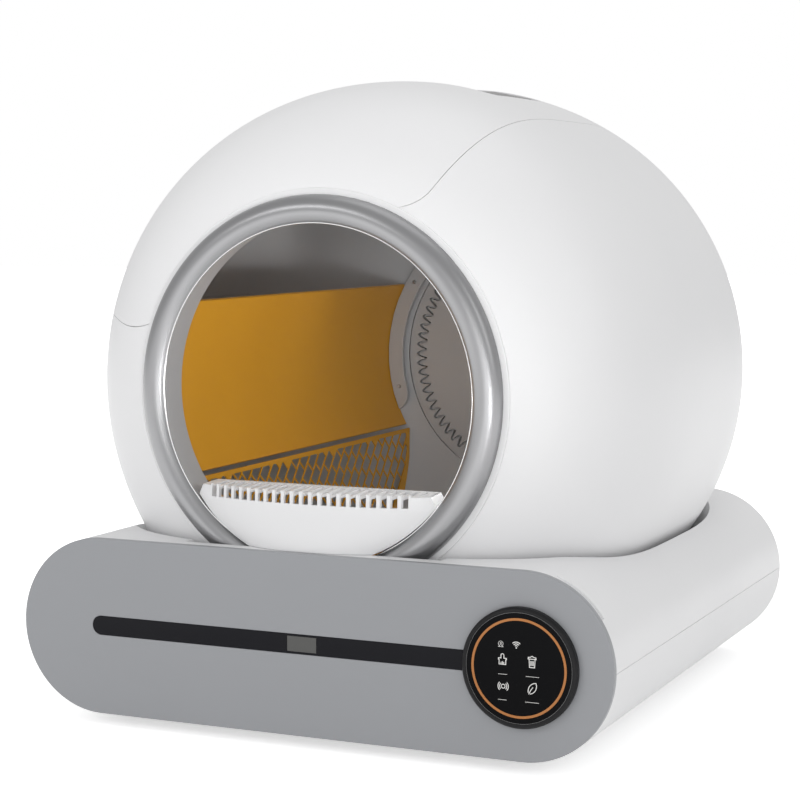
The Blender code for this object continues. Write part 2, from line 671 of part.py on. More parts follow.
upper_outline = stadium(BASE_RADIUS, BASE_RADIUS + MESH_GAP / 2, None)
base_upper = make_piece("base_upper_shell", prism(upper_outline, SHELL_START, BASE_DEPTH),
                        WHITE, reference)
skirt_zone = make_cutter("skirt_zone", solid_globe(-POCKET_CLEARANCE - SKIRT_WALL), reference,
                         (0, 0, AXIS_HEIGHT))
skirt_front = make_cutter("skirt_front", disc(ring_pocket_radius + SKIRT_WALL, LEDGE_DEPTH - LEDGE_WALL,
                                              RING_POCKET_DEPTH, 40), reference, (0, 0, AXIS_HEIGHT))
skirt_slab = make_cutter("skirt_slab", box((-BASE_WIDTH, -BASE_DEPTH, SKIRT_LOW),
                                           (BASE_WIDTH, 2 * BASE_DEPTH, BASE_HEIGHT * 2)), reference)
combine(skirt_zone, skirt_front, "UNION", "MANIFOLD")
combine(skirt_zone, skirt_slab, "INTERSECT", "MANIFOLD")
hollow_outline = stadium(BASE_RADIUS - BASE_WALL, None, None)
upper_hollow = make_cutter("upper_hollow", prism(hollow_outline, SHELL_START + FRONT_WALL,
                                                 BASE_DEPTH - BASE_WALL), reference)
cut(upper_hollow, skirt_zone, "MANIFOLD")
cut(base_upper, upper_hollow, "MANIFOLD")
cut(base_upper, make_cutter("globe_room", solid_globe(-POCKET_CLEARANCE), reference,
                            (0, 0, AXIS_HEIGHT)), "MANIFOLD")
cut(base_upper, make_cutter("ring_room", disc(ring_pocket_radius, LEDGE_DEPTH, RING_POCKET_DEPTH),
                            reference, (0, 0, AXIS_HEIGHT)), "MANIFOLD")
drawer_mouth = prism(stadium(BASE_RADIUS - BASE_WALL, None, FRONT_WALL_LOW),
                     -CUT_OVERRUN, SHELL_START + FRONT_WALL + CUT_OVERRUN)
cut(base_upper, make_cutter("drawer_mouth", drawer_mouth, reference), "MANIFOLD")

# Finger recess behind the panel's upper right edge, where the drawer is pulled
RECESS_DEPTH = 1.8 * MM
RECESS_LENGTH = 5.5 * MM
RECESS_START = math.radians(33)
RECESS_FLOOR_END = math.radians(62)
RECESS_END = math.radians(84)
recess_centre = (BASE_ARC_X, BASE_RADIUS)
recess_outline = arc(recess_centre, BASE_RADIUS - RECESS_DEPTH, RECESS_START, RECESS_FLOOR_END, 6)
recess_outline += arc(recess_centre, BASE_RADIUS + CUT_OVERRUN, RECESS_END, RECESS_START, 6)
finger_recess = prism(recess_outline, SHELL_START - CUT_OVERRUN, SHELL_START + RECESS_LENGTH)
cut(base_upper, make_cutter("finger_recess", finger_recess, reference), "MANIFOLD")

lower_outline = stadium(BASE_RADIUS, None, BASE_RADIUS - MESH_GAP / 2)
base_lower = make_piece("base_lower_shell", prism(lower_outline, SHELL_START, BASE_DEPTH),
                        WHITE, reference)
lower_hollow = prism(stadium(BASE_RADIUS - BASE_WALL, None, None), -CUT_OVERRUN, BASE_DEPTH - BASE_WALL)
cut(base_lower, make_cutter("lower_hollow", lower_hollow, reference))

# Rubber feet, tapered, under the four corners
FOOT_RADIUS = 13 * MM
FOOT_TOP_RADIUS = 15 * MM
FOOT_X = 165 * MM
FOOT_EDGE = 50 * MM
for row, foot_depth in (("front", SHELL_START + FOOT_EDGE), ("rear", BASE_DEPTH - FOOT_EDGE)):
    for side, x in (("left", -FOOT_X), ("right", FOOT_X)):
        foot = bmesh.new()
        bmesh.ops.create_cone(foot, cap_ends=True, segments=16, radius1=FOOT_RADIUS,
                              radius2=FOOT_TOP_RADIUS, depth=FOOT_HEIGHT - MESH_GAP)
        bmesh.ops.translate(foot, verts=foot.verts, vec=(0, 0, -(FOOT_HEIGHT + MESH_GAP) / 2))
        make_piece(f"rubber_foot_{row}_{side}", foot, RUBBER, reference, (x, foot_depth, 0))

# Rollers under the globe, in brackets on the base's side walls
ROLLER_RADIUS = 11 * MM
ROLLER_WIDTH = 12 * MM
ROLLER_SPREAD_SHARE = 0.28
ROLLER_ANGLE = math.radians(130)
ROLLER_CHAMFER = 1 * MM
AXLE_RADIUS = 3 * MM
AXLE_BORE = AXLE_RADIUS + MESH_GAP
FORK_CLEARANCE = 0.4 * MM
FORK_CHEEK = 5 * MM
BRACKET_LOW = 85.5 * MM
BRACKET_HIGH = 122 * MM
BRACKET_NOSE_RADIUS = 7.7 * MM
BRACKET_WINDOW_REACH = 15.4 * MM
TRAY_TOP = 82 * MM

roller_spread = ROLLER_SPREAD_SHARE * GLOBE_HALF_DEPTH
roller_reach = globe_radius_at(ROLLER_SPREAD_SHARE, 0) + MESH_GAP * 2 + ROLLER_RADIUS
roller_x, roller_rise = around_axis(roller_reach, ROLLER_ANGLE)
roller_height = AXIS_HEIGHT + roller_rise
roller_depths = {"front": GLOBE_CENTRE_DEPTH - roller_spread, "rear": GLOBE_CENTRE_DEPTH + roller_spread}
half_roller = ROLLER_WIDTH / 2
roller_profile = [(AXLE_BORE, -half_roller), (ROLLER_RADIUS - ROLLER_CHAMFER, -half_roller),
                  (ROLLER_RADIUS, ROLLER_CHAMFER - half_roller), (ROLLER_RADIUS, half_roller - ROLLER_CHAMFER),
                  (ROLLER_RADIUS - ROLLER_CHAMFER, half_roller), (AXLE_BORE, half_roller)]
bracket_start = roller_depths["front"] - half_roller - FORK_CLEARANCE - FORK_CHEEK
bracket_end = roller_depths["rear"] + half_roller + FORK_CLEARANCE + FORK_CHEEK
bracket_seat = BASE_RADIUS - BASE_WALL - MESH_GAP


def bracket_outline(side):
    """(x, z) section: one arc on the base's wall, and a nose round the axle."""
    wall = base_side(bracket_seat, BRACKET_LOW, BRACKET_HIGH)
    nose = arc((roller_x, roller_height), BRACKET_NOSE_RADIUS, math.radians(120), math.radians(250), 4)
    return [(side * x, z) for x, z in wall + nose]


for side_name, side in (("left", -1), ("right", 1)):
    bracket = make_piece(f"roller_bracket_{side_name}",
                         prism(bracket_outline(side), bracket_start, bracket_end), NYLON, reference)
    for row, roller_depth in roller_depths.items():
        roller = make_piece(f"roller_{row}_{side_name}", turned(roller_profile, 16), RUBBER, reference,
                            (side * roller_x, roller_depth, roller_height))
        slot_half = half_roller + FORK_CLEARANCE
        reach = ROLLER_RADIUS + FORK_CLEARANCE * 2
        low = (-reach * 2, -slot_half, -reach * 2)
        high = (reach, slot_half, reach * 2)
        if side < 0:
            low, high = (-reach, low[1], low[2]), (reach * 2, high[1], high[2])
        cut(bracket, make_cutter(f"fork_{row}_{side_name}", box(low, high), reference,
                                 (side * roller_x, roller_depth, roller_height)))
    middle_low = (-ROLLER_RADIUS * 2, -roller_spread + half_roller + FORK_CLEARANCE + FORK_CHEEK,
                  -ROLLER_RADIUS * 2)
    middle_high = (BRACKET_WINDOW_REACH, -middle_low[1], ROLLER_RADIUS * 2)
    if side < 0:
        middle_low, middle_high = ((-middle_high[0], middle_low[1], middle_low[2]),
                                   (-middle_low[0], middle_high[1], middle_high[2]))
    cut(bracket, make_cutter(f"bracket_window_{side_name}", box(middle_low, middle_high), reference,
                             (side * roller_x, GLOBE_CENTRE_DEPTH, roller_height)))
    bore = disc(AXLE_BORE, bracket_start - CUT_OVERRUN, bracket_end + CUT_OVERRUN, 12)
    cut(bracket, make_cutter(f"axle_bore_{side_name}", bore, reference,
                             (side * roller_x, 0, roller_height)))
    make_piece(f"roller_axle_{side_name}", disc(AXLE_RADIUS, bracket_start, bracket_end, 12), STEEL,
               reference, (side * roller_x, 0, roller_height))

# Drawer: the tray fills the base's trough, open at the top, with a bay for the
# electronics behind the front panel. Its rear wall passes under the globe.
TRAY_FIT = 0.4 * MM
TRAY_WALL = 2 * MM
TRAY_END = 455 * MM
BULKHEAD_START = 22 * MM
tray_radius = BASE_RADIUS - BASE_WALL - TRAY_FIT
tray = make_piece("waste_tray", prism(stadium(tray_radius, None, TRAY_TOP), SHELL_START, TRAY_END),
                  GREY_PANEL, drawer)
tray_inside = stadium(tray_radius - TRAY_WALL, None, None)
cut(tray, make_cutter("tray_bay", prism(tray_inside, -CUT_OVERRUN, BULKHEAD_START), drawer))
cut(tray, make_cutter("tray_well", prism(tray_inside, BULKHEAD_START + TRAY_WALL, TRAY_END - TRAY_WALL),
                      drawer))
cut(tray, make_cutter("tray_globe_room", solid_globe(-POCKET_CLEARANCE - MESH_GAP), drawer,
                      (0, 0, AXIS_HEIGHT)))
cut(tray, make_cutter("tray_sweep_room", disc(GLOBE_RADIUS + POCKET_CLEARANCE + MESH_GAP,
                                              GLOBE_CENTRE_DEPTH, BASE_DEPTH), drawer,
                      (0, 0, AXIS_HEIGHT)))

# Front panel with its strip, sensor window and round display
PANEL_BEVEL = 1 * MM
STRIP_LOW = 66.6 * MM
STRIP_HIGH = 82.3 * MM
STRIP_LEFT = -193 * MM
STRIP_THICKNESS = 1.5 * MM
WINDOW_LEFT = -12 * MM
WINDOW_RIGHT = 13.7 * MM
WINDOW_MARGIN = 1.7 * MM
BEZEL_RADIUS = 47 * MM
BEZEL_INNER_RADIUS = 43.2 * MM
BEZEL_BEVEL = 1.5 * MM
SLEEVE_RADIUS = 43.5 * MM
SLEEVE_INNER_RADIUS = 41 * MM
SLEEVE_END = 8 * MM
GLASS_THICKNESS = 1.9 * MM
GLASS_SET_BACK = 0.6 * MM
LIGHT_RING_OUTER = 38.8 * MM
LIGHT_RING_WIDTH = 2.5 * MM
LIGHT_RING_DEPTH = 0.8 * MM
BOARD_THICKNESS = 1.6 * MM
strip_middle = (STRIP_LOW + STRIP_HIGH) / 2
strip_half = (STRIP_HIGH - STRIP_LOW) / 2
hole_radius = SLEEVE_RADIUS + MESH_GAP
display_place = (BASE_ARC_X, 0, BASE_RADIUS)


def strip_outline(margin):
    """The strip with a round left end, running in under the display's bezel."""
    right = BASE_ARC_X - hole_radius - MESH_GAP * 2 + margin
    half = strip_half + margin
    left_end = arc((STRIP_LEFT + strip_half, strip_middle), half, HALF_TURN / 2, 3 * HALF_TURN / 2, 8)
    return left_end + [(right, strip_middle - half), (right, strip_middle + half)]


def window_outline(margin):
    low, high = STRIP_LOW + WINDOW_MARGIN - margin, STRIP_HIGH - WINDOW_MARGIN + margin
    left, right = WINDOW_LEFT - margin, WINDOW_RIGHT + margin
    return [(left, low), (right, low), (right, high), (left, high)]


panel = bmesh.new()
front_face = panel.faces.new([panel.verts.new((x, PANEL_BEVEL, z))
                              for x, z in stadium(BASE_RADIUS, None, None, 32)])
inner_rim = [(x, z) for x, z in stadium(BASE_RADIUS - PANEL_BEVEL, None, None, 32)]
rim_loop = [panel.verts.new((x, 0, z)) for x, z in inner_rim]
back_loop = [panel.verts.new((x, PANEL_THICKNESS, z)) for x, z in stadium(BASE_RADIUS, None, None, 32)]
bevel_loop = front_face.verts[:]
panel.faces.remove(front_face)
for near, far in ((rim_loop, bevel_loop), (bevel_loop, back_loop)):
    for index in range(len(near)):
        after = (index + 1) % len(near)
        panel.faces.new((near[index], near[after], far[after], far[index]))
panel.faces.new(rim_loop)
panel.faces.new(back_loop)
drawer_front = make_piece("drawer_front", panel, GREY_PANEL, drawer)
cut(drawer_front, make_cutter("strip_recess", prism(strip_outline(MESH_GAP), -CUT_OVERRUN,
                                                    STRIP_THICKNESS + MESH_GAP), drawer))
cut(drawer_front, make_cutter("display_hole", disc(hole_radius, -CUT_OVERRUN, PANEL_THICKNESS * 2),
                              drawer, display_place))
cut(drawer_front, make_cutter("sensor_hole", prism(window_outline(-WINDOW_MARGIN), -CUT_OVERRUN,
                                                   PANEL_THICKNESS * 2), drawer))
strip = make_piece("strip_window", prism(strip_outline(0), 0, STRIP_THICKNESS), BLACK_GLOSS, drawer)
cut(strip, make_cutter("window_hole", prism(window_outline(MESH_GAP), -CUT_OVERRUN, CUT_OVERRUN), drawer))
make_piece("sensor_window", prism(window_outline(0), 0, STRIP_THICKNESS), GLASS_GREY, drawer)

RADAR_HALF_WIDTH = 20 * MM
RADAR_HALF_HEIGHT = 8 * MM
RADAR_DEPTH = 6 * MM
radar_centre = (WINDOW_LEFT + WINDOW_RIGHT) / 2
make_piece("radar_module", box((radar_centre - RADAR_HALF_WIDTH, PANEL_THICKNESS + MESH_GAP,
                                strip_middle - RADAR_HALF_HEIGHT),
                               (radar_centre + RADAR_HALF_WIDTH, PANEL_THICKNESS + RADAR_DEPTH,
                                strip_middle + RADAR_HALF_HEIGHT)), BOARD, drawer)

bezel_front = -DISPLAY_STAND_OUT
glass_back = bezel_front + GLASS_SET_BACK + GLASS_THICKNESS
bezel_profile = [(SLEEVE_INNER_RADIUS, SLEEVE_END), (SLEEVE_RADIUS, SLEEVE_END),
                 (SLEEVE_RADIUS, -MESH_GAP), (BEZEL_RADIUS, -MESH_GAP),
                 (BEZEL_RADIUS, bezel_front + BEZEL_BEVEL), (BEZEL_RADIUS - BEZEL_BEVEL, bezel_front),
                 (BEZEL_INNER_RADIUS, bezel_front), (BEZEL_INNER_RADIUS, glass_back + MESH_GAP),
                 (SLEEVE_INNER_RADIUS, glass_back + MESH_GAP)]
make_piece("display_bezel", turned(bezel_profile, 36), DARK_PLASTIC, drawer, display_place)
glass_radius = BEZEL_INNER_RADIUS - MESH_GAP
glass_front = bezel_front + GLASS_SET_BACK
light_inner = LIGHT_RING_OUTER - LIGHT_RING_WIDTH
glass_profile = [(0, glass_front), (light_inner - MESH_GAP, glass_front),
                 (light_inner - MESH_GAP, glass_front + LIGHT_RING_DEPTH + MESH_GAP),
                 (LIGHT_RING_OUTER + MESH_GAP, glass_front + LIGHT_RING_DEPTH + MESH_GAP),
                 (LIGHT_RING_OUTER + MESH_GAP, glass_front), (glass_radius, glass_front),
                 (glass_radius, glass_back), (0, glass_back)]
make_piece("display_glass", turned(glass_profile, 32), BLACK_GLOSS, drawer, display_place)
light_profile = [(light_inner, glass_front), (LIGHT_RING_OUTER, glass_front),
                 (LIGHT_RING_OUTER, glass_front + LIGHT_RING_DEPTH),
                 (light_inner, glass_front + LIGHT_RING_DEPTH)]
make_piece("light_ring", turned(light_profile, 32), COPPER, drawer, display_place)
board_start = glass_back + MESH_GAP * 2
make_piece("display_board", disc(SLEEVE_INNER_RADIUS - MESH_GAP, board_start,
                                 board_start + BOARD_THICKNESS, 32), BOARD, drawer, display_place)
cut(base_upper, make_cutter("display_notch", disc(BEZEL_RADIUS, -CUT_OVERRUN,
                                                  SHELL_START + FRONT_WALL + CUT_OVERRUN, 32),
                            reference, display_place), "MANIFOLD")

# Drive at the back: gearmotor and pinion under the gear, in their own cover
SHAFT_RADIUS = 3 * MM
SHAFT_ENGAGEMENT = 11 * MM
GEARBOX_LEFT = 16 * MM
GEARBOX_RIGHT = 30 * MM
GEARBOX_HALF_HEIGHT = 16 * MM
MOTOR_RADIUS = 10.5 * MM
MOTOR_LENGTH = 30 * MM
PINION_END_GAP = 1 * MM
REAR_COVER_HALF_WIDTH = 60 * MM
REAR_COVER_LOW = 28 * MM
REAR_COVER_CORNER = 18 * MM
GEAR_ROOM = 3.5 * MM
pinion_height = AXIS_HEIGHT - gear_pitch_radius - pinion_pitch_radius
pinion_place = (0, 0, pinion_height)
rear_cover_high = pinion_height + GEARBOX_HALF_HEIGHT * 2
pinion_start = GEAR_REAR_START + MESH_GAP + SCREW_HEAD_HEIGHT + PINION_END_GAP
pinion_end = GEAR_END - PINION_END_GAP

pinion = make_piece("drive_pinion", prism(gear_outline(PINION_TEETH, DRIVE_TOOTH_SHARE, HALF_TURN),
                                          pinion_start, pinion_end), NYLON, reference, pinion_place)
cut(pinion, make_cutter("pinion_bore", disc(SHAFT_RADIUS + MESH_GAP, pinion_start - CUT_OVERRUN,
                                            pinion_end + CUT_OVERRUN, 12), reference, pinion_place))
make_piece("drive_shaft", disc(SHAFT_RADIUS, pinion_start, GEARBOX_START + SHAFT_ENGAGEMENT, 12),
           STEEL, reference, pinion_place)

gearbox_end = GEARBOX_START + GEARBOX_DEPTH
gearmotor = make_piece("gearmotor", box((-GEARBOX_LEFT, GEARBOX_START, pinion_height - GEARBOX_HALF_HEIGHT),
                                        (GEARBOX_RIGHT, gearbox_end, pinion_height + GEARBOX_HALF_HEIGHT)),
                       STEEL, reference)
can_outline = arc(((GEARBOX_START + gearbox_end) / 2, pinion_height), MOTOR_RADIUS, 0,
                  FULL_TURN * 19 / 20, 19)
motor_can = make_cutter("motor_can", prism(can_outline, -GEARBOX_LEFT - MOTOR_LENGTH, 0, "X"), reference)
combine(gearmotor, motor_can, "UNION")
cut(gearmotor, make_cutter("gearbox_bore", disc(SHAFT_RADIUS + MESH_GAP, GEARBOX_START - CUT_OVERRUN,
                                                GEARBOX_START + SHAFT_ENGAGEMENT + MESH_GAP, 12),
                           reference, pinion_place))


def rear_cover_outline(inset):
    half_height = (rear_cover_high - REAR_COVER_LOW) / 2
    return rounded_rectangle(REAR_COVER_HALF_WIDTH - inset, half_height - inset, REAR_COVER_CORNER - inset,
                             (0, REAR_COVER_LOW + half_height))


rear_cover = make_piece("rear_drive_cover", prism(rear_cover_outline(0), BASE_DEPTH + MESH_GAP,
                                                  REAR_COVER_END), WHITE, reference)
cut(rear_cover, make_cutter("rear_cover_inside", prism(rear_cover_outline(COVER_WALL),
                                                       BASE_DEPTH - CUT_OVERRUN, REAR_COVER_INSIDE),
                            reference))
cut(rear_cover, make_cutter("gear_room", disc(FLANGE_RADIUS + GEAR_ROOM, BASE_DEPTH - CUT_OVERRUN,
                                              GEARBOX_START), reference, (0, 0, AXIS_HEIGHT)))

# Control board and power socket, low in the rear cover
BOARD_HALF_WIDTH = 32 * MM
BOARD_HALF_HEIGHT = 26 * MM
BOARD_CENTRE_X = -14 * MM
BOARD_CENTRE_HEIGHT = 76 * MM
RELAY_SIZE = 15 * MM
SOCKET_X = 34 * MM
SOCKET_HEIGHT = 48 * MM
SOCKET_NECK_RADIUS = 4.2 * MM
SOCKET_BORE_RADIUS = 3.2 * MM
SOCKET_BODY_RADIUS = 6 * MM
SOCKET_PIN_RADIUS = 1 * MM
SOCKET_BODY_DEPTH = 10 * MM
SOCKET_BORE_DEPTH = 9 * MM
board_back = REAR_COVER_INSIDE - MESH_GAP
control_board = make_piece("control_board", box((BOARD_CENTRE_X - BOARD_HALF_WIDTH,
                                                 board_back - BOARD_THICKNESS,
                                                 BOARD_CENTRE_HEIGHT - BOARD_HALF_HEIGHT),
                                                (BOARD_CENTRE_X + BOARD_HALF_WIDTH, board_back,
                                                 BOARD_CENTRE_HEIGHT + BOARD_HALF_HEIGHT)),
                           BOARD, reference)
relay = make_cutter("board_relay", box((BOARD_CENTRE_X, board_back - RELAY_SIZE, BOARD_CENTRE_HEIGHT),
                                       (BOARD_CENTRE_X + RELAY_SIZE, board_back - BOARD_THICKNESS / 2,
                                        BOARD_CENTRE_HEIGHT + RELAY_SIZE)), reference)
combine(control_board, relay, "UNION")

socket_place = (SOCKET_X, 0, SOCKET_HEIGHT)
socket_start = board_back - SOCKET_BODY_DEPTH
bore_end = REAR_COVER_END - SOCKET_BORE_DEPTH
socket_profile = [(0, socket_start), (SOCKET_BODY_RADIUS, socket_start), (SOCKET_BODY_RADIUS, board_back),
                  (SOCKET_NECK_RADIUS, board_back), (SOCKET_NECK_RADIUS, REAR_COVER_END),
                  (SOCKET_BORE_RADIUS, REAR_COVER_END), (SOCKET_BORE_RADIUS, bore_end),
                  (SOCKET_PIN_RADIUS, bore_end), (SOCKET_PIN_RADIUS, REAR_COVER_END - COVER_WALL / 2),
                  (0, REAR_COVER_END - COVER_WALL / 2)]
make_piece("power_socket", turned(socket_profile, 16), DARK_PLASTIC, reference, socket_place)
cut(rear_cover, make_cutter("socket_hole", disc(SOCKET_NECK_RADIUS + MESH_GAP, REAR_COVER_INSIDE - CUT_OVERRUN,
                                                REAR_COVER_END + CUT_OVERRUN, 16), reference, socket_place))

# Litter step in the entrance: a bowl front that follows the ring, and a slotted
# comb on top. It rests on the base's ledge and hooks behind it.
STEP_TOP = 195.5 * MM
STEP_SHOULDER = 186 * MM
STEP_TOP_HALF_WIDTH = 100.5 * MM
STEP_FRONT = 5.5 * MM
STEP_SIDE_LOW = 15 * MM
STEP_SIDE_HIGH = 26 * MM
STEP_BACK = 48 * MM
STEP_WALL = 3 * MM
STEP_LIFT = 0.3 * MM
SLOT_COUNT = 22
SHORT_SLOT_COUNT = 2
SLOT_PITCH = 8.1 * MM
SLOT_WIDTH = 5.3 * MM
SLOT_SHIFT = -2.5 * MM
SLOT_FLOOR = 185.3 * MM
SLOT_RIM = 4 * MM
SHORT_SLOT_DEPTH = 1.5 * MM
TIP_HEIGHT = 1.2 * MM
COMB_THICKNESS = 4 * MM
APRON_THICKNESS = 3.2 * MM
STEP_BULGE = 2.4
step_radius = MOUTH_RADIUS - RING_CLEARANCE
step_bottom = BASE_HEIGHT + STEP_LIFT
top_side = STEP_SIDE_HIGH - STEP_WALL / 3
STEP_HEIGHT_SHARES = (0, 0.35, 0.7, 1)


def step_section(height, inset):
    """Half width and side depth of the step at one height up to its shoulder."""
    rise = AXIS_HEIGHT - height
    half_width = math.sqrt(step_radius * step_radius - rise * rise) - inset
    share = (height - step_bottom) / (STEP_SHOULDER - step_bottom)
    return half_width, STEP_SIDE_LOW + (STEP_SIDE_HIGH - STEP_SIDE_LOW) * share + inset


def step_outline(half_width, side_depth, front, back, steps=12):
    """(x, depth) points: the bulged front from left to right, then the two back corners."""
    shares = [2 * index / steps - 1 for index in range(steps + 1)]
    points = [(half_width * share, front + (side_depth - front) * abs(share) ** STEP_BULGE)
              for share in shares]
    return points + [(half_width, back), (-half_width, back)]


def step_loop(shape, height, *sizes):
    return [shape.verts.new((x, depth, height)) for x, depth in step_outline(*sizes)]


def lofted(shape, loops):
    for low, high in zip(loops, loops[1:]):
        for index in range(len(low)):
            after = (index + 1) % len(low)
            shape.faces.new((low[index], low[after], high[after], high[index]))
    shape.faces.new(loops[0])
    shape.faces.new(loops[-1])
    return shape


def step_solid():
    shape = bmesh.new()
    loops = []
    for share in STEP_HEIGHT_SHARES:
        height = step_bottom + (STEP_SHOULDER - step_bottom) * share
        half_width, side = step_section(height, 0)
        loops.append(step_loop(shape, height, half_width, side, STEP_FRONT, STEP_BACK))
    loops.append(step_loop(shape, STEP_TOP, STEP_TOP_HALF_WIDTH, top_side, STEP_FRONT, STEP_BACK))
    return lofted(shape, loops)


def step_hollow():
    """Room behind the bowl's wall and under the comb, open at the back."""
    shape = bmesh.new()
    front = STEP_FRONT + STEP_WALL
    back = STEP_BACK + CUT_OVERRUN
    floor = step_bottom + STEP_WALL
    loops = []
    for share in STEP_HEIGHT_SHARES:
        height = floor + (SLOT_FLOOR - SLOT_RIM - floor) * share
        half_width, side = step_section(height, STEP_WALL)
        loops.append(step_loop(shape, height, half_width, side, front, back))
    loops.append(step_loop(shape, STEP_TOP - COMB_THICKNESS, STEP_TOP_HALF_WIDTH - STEP_WALL,
                           top_side + STEP_WALL, front, back))
    return lofted(shape, loops)


def tip_clearance():
    """What stands above the comb, apart from the row of tips along its front."""
    outline = step_outline(STEP_TOP_HALF_WIDTH, top_side + STEP_WALL, STEP_FRONT + STEP_WALL, STEP_BACK)
    last_tip = SLOT_PITCH * SLOT_COUNT / 2
    front = [(x, depth) for x, depth in outline[:-2] if abs(x - SLOT_SHIFT) < last_tip]
    side = STEP_TOP_HALF_WIDTH + CUT_OVERRUN
    back = STEP_BACK + CUT_OVERRUN
    left, right = SLOT_SHIFT - last_tip, SLOT_SHIFT + last_tip
    ends = [(right, front[-1][1]), (right, -CUT_OVERRUN), (side, -CUT_OVERRUN), (side, back),
            (-side, back), (-side, -CUT_OVERRUN), (left, -CUT_OVERRUN), (left, front[0][1])]
    return prism(front + ends, STEP_TOP - TIP_HEIGHT, STEP_TOP + CUT_OVERRUN, "Z")


def comb_slots():
    """Full slots through the front and the comb, and short shallow ones at the right."""
    shape = bmesh.new()
    for number in range(SLOT_COUNT + SHORT_SLOT_COUNT):
        short = number >= SLOT_COUNT
        middle = SLOT_SHIFT + (number - (SLOT_COUNT - 1) / 2) * SLOT_PITCH
        left, right = middle - SLOT_WIDTH / 2, middle + SLOT_WIDTH / 2
        if short:
            left, right = middle - SLOT_WIDTH / 4, middle + SLOT_WIDTH / 4
        start = STEP_SIDE_HIGH + STEP_WALL if short else -CUT_OVERRUN
        floor = STEP_TOP - TIP_HEIGHT - SHORT_SLOT_DEPTH if short else SLOT_FLOOR
        end = STEP_BACK - SLOT_RIM
        corners = [(left, start), (right, start), (right, end), (left, end)]
        shape.faces.new([shape.verts.new((x, y, floor)) for x, y in corners])
    grown = bmesh.ops.extrude_face_region(shape, geom=shape.faces[:])
    tops = [item for item in grown["geom"] if isinstance(item, bmesh.types.BMVert)]
    bmesh.ops.translate(shape, verts=tops, vec=(0, 0, STEP_TOP - SLOT_FLOOR + CUT_OVERRUN))
    return shape


litter_step = make_piece("litter_step", step_solid(), WHITE, reference)
apron_start = LEDGE_DEPTH + MESH_GAP * 1.5
apron_radius = step_radius - MESH_GAP
apron_half = math.acos((AXIS_HEIGHT - step_bottom - STEP_WALL / 2) / apron_radius)
apron_outline = [(x, AXIS_HEIGHT + z) for x, z in
                 [around_axis(apron_radius, HALF_TURN + apron_half * (step / 5 - 1)) for step in range(11)]]
apron = make_cutter("step_apron", prism(apron_outline, apron_start, apron_start + APRON_THICKNESS), reference)
combine(litter_step, apron, "UNION")
cut(litter_step, make_cutter("step_hollow", step_hollow(), reference))
cut(litter_step, make_cutter("tip_clearance", tip_clearance(), reference))
cut(litter_step, make_cutter("comb_slots", comb_slots(), reference))
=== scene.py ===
import json
import math

import bmesh
import bpy
from mathutils import Matrix, Vector


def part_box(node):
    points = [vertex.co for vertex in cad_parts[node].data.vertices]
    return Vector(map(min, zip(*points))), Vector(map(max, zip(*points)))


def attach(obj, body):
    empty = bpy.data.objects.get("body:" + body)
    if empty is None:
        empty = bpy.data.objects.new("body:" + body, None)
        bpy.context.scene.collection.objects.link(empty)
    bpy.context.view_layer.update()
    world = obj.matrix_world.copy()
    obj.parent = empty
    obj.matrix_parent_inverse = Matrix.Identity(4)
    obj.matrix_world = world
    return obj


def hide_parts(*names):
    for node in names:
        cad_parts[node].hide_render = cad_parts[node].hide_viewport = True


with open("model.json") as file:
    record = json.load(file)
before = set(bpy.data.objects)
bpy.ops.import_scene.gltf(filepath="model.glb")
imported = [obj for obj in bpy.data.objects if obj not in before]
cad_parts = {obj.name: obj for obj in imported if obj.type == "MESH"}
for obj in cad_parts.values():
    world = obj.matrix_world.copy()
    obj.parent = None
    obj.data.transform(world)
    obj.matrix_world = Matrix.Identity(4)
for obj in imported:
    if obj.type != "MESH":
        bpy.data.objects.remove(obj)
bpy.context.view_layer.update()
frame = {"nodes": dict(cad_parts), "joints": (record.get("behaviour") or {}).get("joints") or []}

# Base lower shell
# White ABS tub that stands on the feet. Its parting line with the upper shell
# runs round the sides at half height, and the waste drawer slides in its trough.
MM = 0.001
BASE_WALL = 3 * MM
ROUND_STEPS = 40
SMOOTH_ANGLE = math.radians(32)
EASED_ANGLE = math.radians(35)
OVERRUN = 5 * MM
FAR = 1
ROUND_SLIVER = 0.02 * MM
WELD = 1e-6
FINE_WELD = 1e-7
ON_AXIS = 1e-9
TUB_EDGE = 0.25 * MM
lower_low, lower_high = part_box("base_lower_shell")
panel_low, panel_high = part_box("drawer_front")
FRONT = panel_low.y
UNDERSIDE = lower_low.z
lid_low, lid_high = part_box("base_upper_shell")
base_top = lid_high.z
base_radius = (base_top - UNDERSIDE) / 2
base_middle = UNDERSIDE + base_radius
base_half_width = lower_high.x


def add_node(tree, kind, values=None, **settings):
    """Shader node of one kind, with its settings and the values of its inputs."""
    node = tree.nodes.new("ShaderNode" + kind)
    for setting, value in settings.items():
        setattr(node, setting, value)
    for label, value in (values or {}).items():
        node.inputs[label].default_value = value
    return node


def wire(tree, *joins):
    """Link sockets. Each join is a node, its output, the next node and its input."""
    for start, output, end, entry in joins:
        tree.links.new(start.outputs[output], end.inputs[entry])


def new_group(name, colours, numbers, colour_results, number_results=()):
    """Shader node group with named sockets, ready for its nodes."""
    group = bpy.data.node_groups.new(name, "ShaderNodeTree")
    for way, kind, labels in (("INPUT", "Color", colours), ("INPUT", "Float", numbers),
                              ("OUTPUT", "Color", colour_results), ("OUTPUT", "Float", number_results)):
        for label in labels:
            group.interface.new_socket(label, in_out=way, socket_type="NodeSocket" + kind)
    return group, group.nodes.new("NodeGroupInput"), group.nodes.new("NodeGroupOutput")


